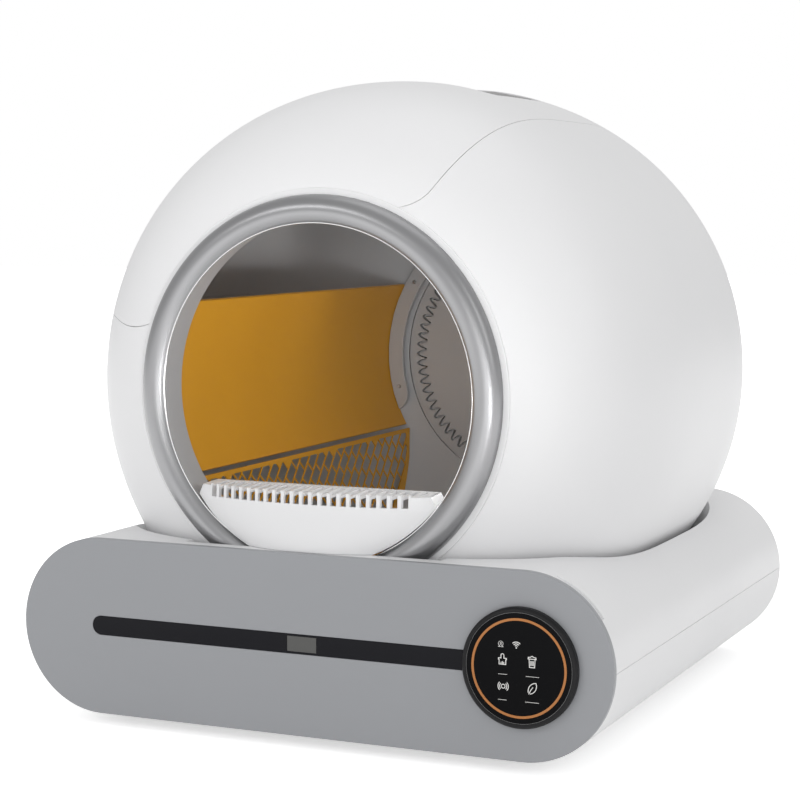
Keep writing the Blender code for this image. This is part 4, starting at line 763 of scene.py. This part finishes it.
cell_zone = upright([sieve_outline(SIEVE_RIM, SIEVE_LOW_RIM)], sieve_back - 2 * OVERRUN,
                    sieve_high.x + 2 * OVERRUN)
sieve_cells = carved(sieve_cells, cell_zone, "INTERSECT")
sieve = carved(upright([sieve_outline(0)], sieve_back, sieve_high.x), sieve_cells)
make_piece("sieve", eased(sieve, SIEVE_EDGE), AMBER, "drum", "amber", "sifting_screen")

# Clamp, rivets, gear and trim ring on the back wall
# The grey clamp holds the sheet's rear edge with two rivets. The gear shows
# inside as a disc with a wavy edge, in a plate cut to the same wave.
SCREW_COUNT = 6
copied("sheet_clamp", "liner_clamp", WIDE_EDGE, LINER_GREY, "drum", "liner_grey")
for number in (1, 2):
    copied(f"clamp_rivet_{number}", f"liner_rivet_{number}", FINE_EDGE, STEEL, "drum", "steel")
for number in range(1, SCREW_COUNT + 1):
    copied(f"flange_screw_{number}", f"gear_screw_{number}", FINE_EDGE, STEEL, "drum", "steel")

GEAR_TEETH = 76
GEAR_PITCH_RADIUS = 114 * MM
WAVE_HEIGHT = 9.4 * MM
WAVE_LEAN = 0.6
WAVE_STEPS = 18
GROOVE_WIDTH = 2.3 * MM
GROOVE_DEPTH = 6.2 * MM
NECK_GAP = 0.3 * MM
PLATE_GAP = 0.8 * MM
gear_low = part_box("drive_gear")[0]
trim_low, trim_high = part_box("gear_trim_ring")
neck_radius = GEAR_PITCH_RADIUS - WAVE_HEIGHT / 2 - 1.5 * GROOVE_WIDTH


def wave_outline(side):
    """(x, z) points of the wave: the gear's with side -1, and the plate's wider one with 1."""
    points = []
    for step in range(WAVE_STEPS * GEAR_TEETH):
        phase = math.tau * step / WAVE_STEPS
        turn = (phase + side * WAVE_LEAN * math.sin(phase)) / GEAR_TEETH
        radius = GEAR_PITCH_RADIUS + side * GROOVE_WIDTH / 2 + WAVE_HEIGHT / 2 * math.cos(phase)
        points.append((drum.x + radius * math.sin(turn), drum.z + radius * math.cos(turn)))
    return points


front_wave = extruded(wave_outline(-1), gear_low.y, gear_low.y + GROOVE_DEPTH)
rear_gear = sliced(trimmed_copy("drive_gear", SOFT_EDGE), (0, trim_high.y, 0), (0, -1, 0))
neck = disc(neck_radius, gear_low.y + GROOVE_DEPTH / 2, trim_high.y + GROOVE_DEPTH / 4, steps=GLOBE_STEPS)
gear = carved(carved(front_wave, neck, "UNION"), rear_gear, "UNION")
make_piece("gear_disc", joined_flats(gear), LINER_GREY, "drum", "liner_grey", "drive_gear")

plate = disc(trim_high.x - PLATE_GAP, trim_low.y, trim_high.y, steps=GLOBE_STEPS)
plate_groove = trim_low.y + GROOVE_DEPTH + NECK_GAP / 3
plate = carved(plate, extruded(wave_outline(1), trim_low.y - OVERRUN, plate_groove))
plate = carved(plate, disc(neck_radius + NECK_GAP, trim_low.y - OVERRUN, trim_high.y + OVERRUN,
                           steps=GLOBE_STEPS))
make_piece("wave_plate", joined_flats(plate), LINER_GREY, "drum", "liner_grey", "gear_trim_ring")

# Waste drawer
# Grey front panel with a fully round outline and a broken edge, on the tray
# that catches the clumps. Only the panel shows while the drawer is in.
PANEL_BEVEL = 1 * MM
PANEL_BEVEL_STEPS = 4
FASCIA_GREY = finish("fascia_grey", (0.335, 0.342, 0.36), (0.32, 0.328, 0.345), 0.42, drift_scale=4)
STRIP_LOW = UNDERSIDE + 66.6 * MM
STRIP_HIGH = UNDERSIDE + 82.3 * MM
STRIP_LEFT = -193 * MM
STRIP_DEPTH = 1.5 * MM
FIT = 0.3 * MM
STRIP_STEPS = 24
SLEEVE_RADIUS = 43.5 * MM
DISPLAY_STEPS = 128
TRAY_EDGE = 0.4 * MM
window_low, window_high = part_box("sensor_window")


def strip_block(grow, start, end):
    """Long strip with a round left end that runs in under the display."""
    half = (STRIP_HIGH - STRIP_LOW) / 2 + grow
    return rounded_block((STRIP_LEFT - grow, start, STRIP_LOW - grow),
                         (DISPLAY_X, end, STRIP_HIGH + grow), half - ROUND_SLIVER, 1, STRIP_STEPS)


panel = base_block(0, panel_low.y, panel_high.y)
front_edges = [edge for edge in panel.edges
               if all(abs(corner.co.y - panel_low.y) < WELD for corner in edge.verts)]
panel = bevelled(panel, front_edges, PANEL_BEVEL, PANEL_BEVEL_STEPS)
panel = carved(panel, strip_block(FIT, panel_low.y - OVERRUN, panel_low.y + STRIP_DEPTH + FIT))
panel = carved(panel, disc(SLEEVE_RADIUS + FIT, panel_low.y - OVERRUN, panel_high.y + OVERRUN,
                           display_centre, DISPLAY_STEPS))
make_piece("drawer_panel", panel, FASCIA_GREY, "drawer", "panel_grey", "drawer_front")
copied("drawer_tray", "waste_tray", TRAY_EDGE, FASCIA_GREY, "drawer", "panel_grey")

# Light strip and sensor window
# Gloss black strip let into the panel, with a slightly lighter window for the
# radar that looks out for the cat.
STRIP_BLACK = finish("strip_black", (0.008, 0.008, 0.011), (0.011, 0.011, 0.014), 0.12,
                     gloss_drift=0.06, grain_depth=0.002 * MM, specular=0.1)
WINDOW_GREY = finish("window_grey", (0.065, 0.065, 0.062), (0.078, 0.078, 0.074), 0.24,
                     grain_depth=0.002 * MM)
strip = strip_block(0, panel_low.y, panel_low.y + STRIP_DEPTH)
strip = sliced(strip, (DISPLAY_X - SLEEVE_RADIUS - FIT, 0, 0), (1, 0, 0))
strip = carved(strip, block((window_low.x - FIT, window_low.y - OVERRUN, window_low.z - FIT),
                            (window_high.x + FIT, window_high.y + OVERRUN, window_high.z + FIT)))
make_piece("light_strip", strip, STRIP_BLACK, "drawer", "black_gloss", "strip_window")
copied("radar_window", "sensor_window", FINE_EDGE, WINDOW_GREY, "drawer", "window_grey")
copied("radar_board", "radar_module", SMALL_EDGE, BOARD_GREEN, "drawer", "circuit_board")

# Round touch display
# Dark bezel that stands proud of the panel, black glass with a copper ring let
# into it, and the circuit board behind.
BEZEL_TRIM = 0.5 * MM
BEZEL_INNER_RADIUS = 42.7 * MM
BEZEL_ROUND = 1.5 * MM
BEZEL_EDGE = 0.4 * MM
SLEEVE_INNER_RADIUS = 41 * MM
RING_WIDTH = 1.9 * MM
GLASS_BLACK = finish("glass_black", (0.0035, 0.0035, 0.004), (0.005, 0.005, 0.006), 0.10,
                     gloss_drift=0.04, grain_depth=0.002 * MM, specular=0.05)
GROUND_EDGE = finish("ground_edge", (0.34, 0.34, 0.34), (0.22, 0.22, 0.22), 0.35, drift_scale=30)
COPPER = finish("copper_ring", (0.46, 0.18, 0.048), (0.40, 0.15, 0.04), 0.38, metallic=0.3)
glass_low, glass_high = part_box("display_glass")
light_low, light_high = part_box("light_ring")
light_radius = (light_high.x - light_low.x) / 2 - BEZEL_TRIM
light_inner_radius = light_radius - RING_WIDTH
bezel_edge = BEZEL_RADIUS - BEZEL_TRIM
glass_radius = BEZEL_INNER_RADIUS - FIT


def about_display(points):
    """Spin (radius, depth) points about the middle of the display."""
    return turned(points, steps=DISPLAY_STEPS, centre=display_centre)


bezel_points = [(SLEEVE_INNER_RADIUS, bezel_high.y), (SLEEVE_RADIUS, bezel_high.y),
                (SLEEVE_RADIUS, panel_low.y - FIT), (bezel_edge, panel_low.y - FIT)]
bezel_points += [(bezel_edge, bezel_low.y + BEZEL_ROUND), (bezel_edge - BEZEL_ROUND, bezel_low.y),
                 (BEZEL_INNER_RADIUS, bezel_low.y), (BEZEL_INNER_RADIUS, glass_high.y + FIT),
                 (SLEEVE_INNER_RADIUS, glass_high.y + FIT)]
make_piece("bezel", eased(about_display(bezel_points), BEZEL_EDGE, segments=3), DARK_PLASTIC, "drawer",
           "dark_plastic", "display_bezel")

groove_depth = light_high.y + FIT
glass_points = [(0, glass_low.y), (light_inner_radius - FIT, glass_low.y),
                (light_inner_radius - FIT, groove_depth), (light_radius + FIT, groove_depth),
                (light_radius + FIT, glass_low.y), (glass_radius, glass_low.y),
                (glass_radius, glass_high.y), (0, glass_high.y)]
make_piece("touch_glass", about_display(glass_points), GLASS_BLACK, "drawer", "black_gloss",
           "display_glass")
glass_edge = ring_section(glass_radius, BEZEL_INNER_RADIUS - FIT / 3, glass_low.y, glass_high.y)
make_piece("ground_glass_edge", about_display(glass_edge), GROUND_EDGE, "drawer", "black_gloss")
copper_section = ring_section(light_inner_radius, light_radius, light_low.y, light_high.y)
make_piece("copper_light_ring", about_display(copper_section), COPPER, "drawer", "copper", "light_ring")
copied("display_circuit", "display_board", SMALL_EDGE, BOARD_GREEN, "drawer", "circuit_board")

# Symbols on the display
# Plain pictograms and bars, printed on the glass over small lamps, which light
# them a little unevenly.
PRINT_DEPTH = 0.05 * MM
BOLD_LINE = 0.6 * MM
FINE_LINE = 0.3 * MM
LAMP_SCALE = 160
GLOW_LOW = 0.25
GLOW_HIGH = 0.60


def lit_print():
    """Light that comes through a printed symbol, brighter over each lamp."""
    group, given, result = new_group("lit_print", ("Colour",), (), ("Glow",))
    place = add_node(group, "TexCoord")
    lamps = add_node(group, "TexNoise", {"Scale": LAMP_SCALE})
    level = add_node(group, "MapRange", {"To Min": GLOW_LOW, "To Max": GLOW_HIGH})
    tint = add_node(group, "VectorMath", operation="SCALE")
    wire(group, (place, "Object", lamps, "Vector"), (lamps, "Fac", level, "Value"),
         (given, "Colour", tint, 0), (level, 0, tint, "Scale"), (tint, 0, result, "Glow"))
    return group


LIT_WHITE = finish("lit_white_print", (0.40, 0.40, 0.39), (0.34, 0.34, 0.34), 0.35)
print_tree = LIT_WHITE.node_tree
light = add_node(print_tree, "Group", {"Colour": (1, 0.98, 0.94, 1)}, node_tree=lit_print())
print_shader = print_tree.nodes["Principled BSDF"]
print_shader.inputs["Emission Strength"].default_value = 1
wire(print_tree, (light, "Glow", print_shader, "Emission Color"))


def bend(x, z, radius, start, end, steps=12):
    """Run of (x, z) points in millimetres on an arc, by degrees from the right."""
    return arc(x, z, radius, math.radians(start), math.radians(end), steps)


def printed(paths, width):
    """Flat strokes of one width along runs of points, about the display's centre."""
    shape = bmesh.new()
    for path in paths:
        corners = [shape.verts.new((display_centre.x + x * MM, glass_low.y, display_centre.z + z * MM))
                   for x, z in path]
        for pair in zip(corners, corners[1:]):
            shape.edges.new(pair)
    welded(shape)
    pulled(shape, bmesh.ops.extrude_edge_only(shape, edges=shape.edges[:]), (0, -PRINT_DEPTH, 0))
    return through_modifier(shape, "SOLIDIFY", thickness=width, offset=0, use_even_offset=True)


bold_paths = [
    # Brush: handle, shoulders and bristles
    bend(-13, 9, 1.2, 0, 180) + [(-14.2, 6.9), (-16.2, 6.9), (-16.2, 5.8), (-15.7, 5.8), (-15.7, 2.2),
                                 (-10.3, 2.2), (-10.3, 5.8), (-9.8, 5.8), (-9.8, 6.9), (-11.8, 6.9),
                                 (-11.8, 9)],
    *[[(x, 2.6), (x, top)] for x, top in ((-14.1, 4), (-13, 4.5), (-11.9, 4))],
    # Bin: lid, body and its three ribs
    [(7.6, 8.1), (7.8, 9.3), (9.4, 9.5), (10.8, 10.4), (12.2, 9.5), (13.8, 9.3), (14, 8.1), (7.6, 8.1)],
    [(8.4, 7.9), (8.8, 1.7), (12.8, 1.7), (13.2, 7.9)],
    *[[(x, 3), (x, 6.6)] for x in (9.8, 10.8, 11.8)],
    # Ring with waves on both sides
    bend(-12.3, -14.6, 1.5, 0, 360, 20),
    *[bend(-12.3, -14.6, radius, way - half, way + half)
      for way in (0, 180) for radius, half in ((2.9, 48), (4.2, 46))],
    # Leaf and its rib
    bulged((14, -10.1), (7.9, -17.6), 2.3, 10), bulged((9.3, -18.6), (14, -10.1), 2.3, 10),
    [(8.2, -18.8), (9.9, -15.6), (11.7, -13.2)],
    # Radio waves
    *[bend(-1.9, 15.8, radius, 45, 135, 8) for radius in (1.5, 2.9, 4.3)], bend(-1.9, 15.6, 0.25, 0, 360, 8),
]
fine_paths = [
    # Small figure in an open ring on a foot
    bend(-14.4, 17.9, 1.9, -55, 235, 20) + [(-16.3, 15.5), (-12.5, 15.5), (-13.3, 16.3)],
    bend(-14.4, 18.2, 0.6, 0, 360, 10), bend(-14.4, 16, 1, 20, 160, 8),
    # Bars under the keys
    [(-16.4, -5.4), (-9.2, -5.4)], [(5.9, -5.4), (16.5, -5.4)],
    [(-16.4, -25), (-9.4, -25)], [(5.4, -25), (16.5, -25)],
]
make_piece("key_symbols", printed(bold_paths, BOLD_LINE), LIT_WHITE, "drawer", "black_gloss")
make_piece("status_symbols", printed(fine_paths, FINE_LINE), LIT_WHITE, "drawer", "black_gloss")

# Litter step
# White moulding in the lower part of the entrance: a bowl-shaped front, and a
# slotted comb on top that takes the litter off the cat's paws.
STEP_TOP = UNDERSIDE + 195.5 * MM
STEP_SHOULDER = UNDERSIDE + 186 * MM
STEP_TOP_HALF_WIDTH = 100.5 * MM
STEP_SIDE_LOW = 15 * MM
STEP_SIDE_HIGH = 26 * MM
STEP_WALL = 3 * MM
STEP_BULGE = 2.4
STEP_ROWS = 10
STEP_STEPS = 56
SLOT_COUNT = 22
SHORT_SLOT_COUNT = 2
SLOT_PITCH = 8.1 * MM
SLOT_WIDTH = 5.3 * MM
SLOT_SHIFT = -2.5 * MM
SLOT_FLOOR = UNDERSIDE + 185.3 * MM
SLOT_RIM = 4 * MM
SHORT_SLOT_DEPTH = 1.5 * MM
TIP_HEIGHT = 2.2 * MM
COMB_THICKNESS = 4 * MM
APRON_WALL = 3.2 * MM
APRON_BACK = 0.45 * MM
APRON_STEPS = 40
QUARTER_TURN = math.pi / 2
STEP_CLEARANCE = 1.2 * MM
STEP_DEPTH = 48 * MM
STEP_EDGE = 0.5 * MM
BOWL_LOW = UNDERSIDE + 147.3 * MM
step_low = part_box("litter_step")[0]
step_radius = RING_INNER_RADIUS - STEP_CLEARANCE
step_back = FRONT + STEP_DEPTH
top_side_depth = STEP_SIDE_HIGH - STEP_WALL / 3


def step_outline(half_width, side_depth, front, back):
    """(x, depth) points: the bulged front from left to right, then the two back corners."""
    shares = [2 * step / STEP_STEPS - 1 for step in range(STEP_STEPS + 1)]
    points = [(half_width * share, front + (FRONT + side_depth - front) * abs(share) ** STEP_BULGE)
              for share in shares]
    return points + [(half_width, back), (-half_width, back)]


def lofted(outlines):
    """Closed body through level outlines, each given with its height."""
    shape = bmesh.new()
    loops = []
    for height, outline in outlines:
        corners = [shape.verts.new((x, depth, height)) for x, depth in outline]
        loops.append([shape.edges.new(pair) for pair in zip(corners, corners[1:] + corners[:1])])
    for low, high in zip(loops, loops[1:]):
        bmesh.ops.bridge_loops(shape, edges=low + high)
    for loop in (loops[0], loops[-1]):
        bmesh.ops.contextual_create(shape, geom=loop)
    return outward(shape)


def bowl(inset, bottom, shoulder, top, top_half_width, front, back):
    """The step's bowl between a bottom and a top height, drawn in by an inset."""
    outlines = []
    for row in range(STEP_ROWS + 1):
        height = bottom + (shoulder - bottom) * row / STEP_ROWS
        rise = drum.z - height
        share = (height - step_low.z) / (STEP_SHOULDER - step_low.z)
        side = STEP_SIDE_LOW + (STEP_SIDE_HIGH - STEP_SIDE_LOW) * share + inset
        half_width = math.sqrt(step_radius * step_radius - rise * rise) - inset
        outlines.append((height, step_outline(half_width, side, front, back)))
    outlines.append((top, step_outline(top_half_width, top_side_depth + inset, front, back)))
    return lofted(outlines)


step_shape = bowl(0, BOWL_LOW, STEP_SHOULDER, STEP_TOP, STEP_TOP_HALF_WIDTH, step_low.y, step_back)
apron_radius = step_radius - FIT
apron_half = math.acos((drum.z - BOWL_LOW - STEP_WALL / 2) / apron_radius)
apron_start = ledge + APRON_BACK
apron_outline = arc(0, drum.z, apron_radius, apron_half - QUARTER_TURN, -apron_half - QUARTER_TURN,
                    APRON_STEPS)
apron = extruded(apron_outline, apron_start, apron_start + APRON_WALL)
step_shape = carved(step_shape, apron, "UNION")
step_front = step_low.y + STEP_WALL
step_shape = carved(step_shape, bowl(STEP_WALL, BOWL_LOW + STEP_WALL, SLOT_FLOOR - SLOT_RIM,
                                     STEP_TOP - COMB_THICKNESS, STEP_TOP_HALF_WIDTH - STEP_WALL,
                                     step_front, step_back + OVERRUN))

last_tip = SLOT_PITCH * SLOT_COUNT / 2
inner_front = step_outline(STEP_TOP_HALF_WIDTH, top_side_depth + STEP_WALL, step_front, step_back)[:-2]
behind_tips = [(x, depth) for x, depth in inner_front if abs(x - SLOT_SHIFT) < last_tip]
room_side = STEP_TOP_HALF_WIDTH + OVERRUN
room_back = step_back + OVERRUN
room_front = FRONT - OVERRUN
behind_tips += [(SLOT_SHIFT + last_tip, behind_tips[-1][1]), (SLOT_SHIFT + last_tip, room_front),
                (room_side, room_front), (room_side, room_back), (-room_side, room_back),
                (-room_side, room_front), (SLOT_SHIFT - last_tip, room_front),
                (SLOT_SHIFT - last_tip, behind_tips[0][1])]
comb_room = extruded(behind_tips, STEP_TOP - TIP_HEIGHT, STEP_TOP + OVERRUN, 2)
for corner in comb_room.verts:
    if corner.co.z < STEP_TOP:
        corner.co.z += TIP_HEIGHT * (corner.co.y - step_front) / (step_back - step_front)
step_shape = carved(step_shape, comb_room)

for number in range(SLOT_COUNT + SHORT_SLOT_COUNT):
    short = number >= SLOT_COUNT
    middle = SLOT_SHIFT + (number - (SLOT_COUNT - 1) / 2) * SLOT_PITCH
    half_slot = SLOT_WIDTH / 4 if short else SLOT_WIDTH / 2
    slot_front = FRONT + STEP_SIDE_HIGH + STEP_WALL if short else FRONT - OVERRUN
    slot_low = STEP_TOP - TIP_HEIGHT - SHORT_SLOT_DEPTH if short else SLOT_FLOOR
    slot = block((middle - half_slot, slot_front, slot_low),
                 (middle + half_slot, step_back - SLOT_RIM, STEP_TOP + OVERRUN))
    step_shape = carved(step_shape, slot)
make_piece("entrance_step", eased(step_shape, STEP_EDGE, segments=3), WHITE_ABS, "step", "shell_white",
           "litter_step")

# Floor, light and camera
# Plain white studio floor with large soft lamps. Two narrow lamps shine in
# through the entrance, and a small one lights the globe from inside.
FLOOR_GLOW = 0.52
FLOOR_FADE_START = 0.45
FLOOR_FADE_END = 1.2
FLOOR_HALF = 12
FLOOR_DROP = 0.1 * MM
WORLD_LIGHT = 0.68
floor_finish = bpy.data.materials.new("studio_white")
floor_finish.use_nodes = True
tree = floor_finish.node_tree
tree.nodes.clear()
output = add_node(tree, "OutputMaterial")
diffuse = add_node(tree, "BsdfDiffuse", {"Color": (0.88, 0.88, 0.88, 1)})
glow = add_node(tree, "Emission")
path = add_node(tree, "LightPath")
seen = add_node(tree, "Math", operation="MAXIMUM")
strength = add_node(tree, "Math", operation="MULTIPLY")
floor_place = add_node(tree, "TexCoord")
distance = add_node(tree, "VectorMath", operation="LENGTH")
fade = add_node(tree, "MapRange", {"From Min": FLOOR_FADE_START, "From Max": FLOOR_FADE_END,
                                   "To Min": FLOOR_GLOW, "To Max": 1}, interpolation_type="SMOOTHSTEP")
both = add_node(tree, "AddShader")
wire(tree, (floor_place, "Object", distance, 0), (distance, "Value", fade, "Value"),
     (fade, 0, strength, 1), (path, "Is Camera Ray", seen, 0), (path, "Is Glossy Ray", seen, 1),
     (seen, 0, strength, 0), (strength, 0, glow, "Strength"), (diffuse, 0, both, 0),
     (glow, 0, both, 1), (both, 0, output, "Surface"))
floor_shape = bmesh.new()
bmesh.ops.create_grid(floor_shape, x_segments=1, y_segments=1, size=FLOOR_HALF)
floor = object_from("floor", floor_shape)
floor.data.materials.append(floor_finish)
floor.location.z = -FLOOR_DROP

world = bpy.data.worlds.new("studio")
bpy.context.scene.world = world
world.use_nodes = True
sky = world.node_tree
background = sky.nodes["Background"]
background.inputs["Color"].default_value = (1, 1, 1, 1)
sky_path = add_node(sky, "LightPath")
sky_seen = add_node(sky, "Math", operation="MAXIMUM")
sky_strength = add_node(sky, "MapRange", {"To Min": WORLD_LIGHT, "To Max": 1})
wire(sky, (sky_path, "Is Camera Ray", sky_seen, 0), (sky_path, "Is Transmission Ray", sky_seen, 1),
     (sky_seen, 0, sky_strength, "Value"), (sky_strength, 0, background, "Strength"))


def hung(name, kind, place, target, power):
    """Lamp of one kind at its place, pointed at a target."""
    data = bpy.data.lights.new(name, kind)
    data.energy = power
    light = new_object(name, data)
    light.location = place
    light.rotation_euler = (Vector(target) - light.location).to_track_quat("-Z", "Y").to_euler()
    return light


for name, place, target_height, size, power in (
        ("front_lamp", (1.05, -2.5, 0.85), 0.27, (1.8, 1.6), 5),
        ("low_lamp", (0.75, -2.2, 0.16), 0.34, (1.6, 0.28), 3),
        ("side_lamp", (2.3, -0.7, 1.4), 0.3, (0.5, 1.6), 4.5),
        ("fill_lamp", (-0.98, -1.95, 1.3), 0.3, (0.9, 0.4), 5),
        ("top_lamp", (0.2, 0.3, 2.6), 0.2, (1.8, 1.8), 7)):
    data = hung(name, "AREA", place, (0, 0, target_height), power).data
    data.shape = "RECTANGLE"
    data.size, data.size_y = size

ENTRANCE_TARGET = (-0.01, -0.24, 0.315)
SPOT_ANGLE = math.radians(6.6)
SPOT_BLEND = 0.7
for name, place, size, power in (("side_spot", (1.20, -1.60, 0.05), 0.16, 120),
                                 ("front_spot", (0.55, -1.75, 0.42), 0.12, 22)):
    data = hung(name, "SPOT", place, ENTRANCE_TARGET, power).data
    data.spot_size = SPOT_ANGLE
    data.spot_blend = SPOT_BLEND
    data.shadow_soft_size = size

INNER_LAMP_RADIUS = 0.03
inner_lamp = hung("inner_lamp", "POINT", (0.13, -0.12, 0.26), drum, 0.55)
inner_lamp.data.shadow_soft_size = INNER_LAMP_RADIUS
inner_lamp.visible_camera = False

CAMERA_DOWN = math.radians(5.225)
CAMERA_TURN = math.radians(24.15)
camera_data = bpy.data.cameras.new("camera")
camera_data.lens = 91.6
camera_data.sensor_width = 36
camera = new_object("camera", camera_data)
camera.location = (0.7209, -1.68867, 0.4228)
camera.rotation_euler = (math.pi / 2 - CAMERA_DOWN, 0, CAMERA_TURN)
bpy.context.scene.camera = camera
bpy.context.scene.view_settings.view_transform = "Standard"
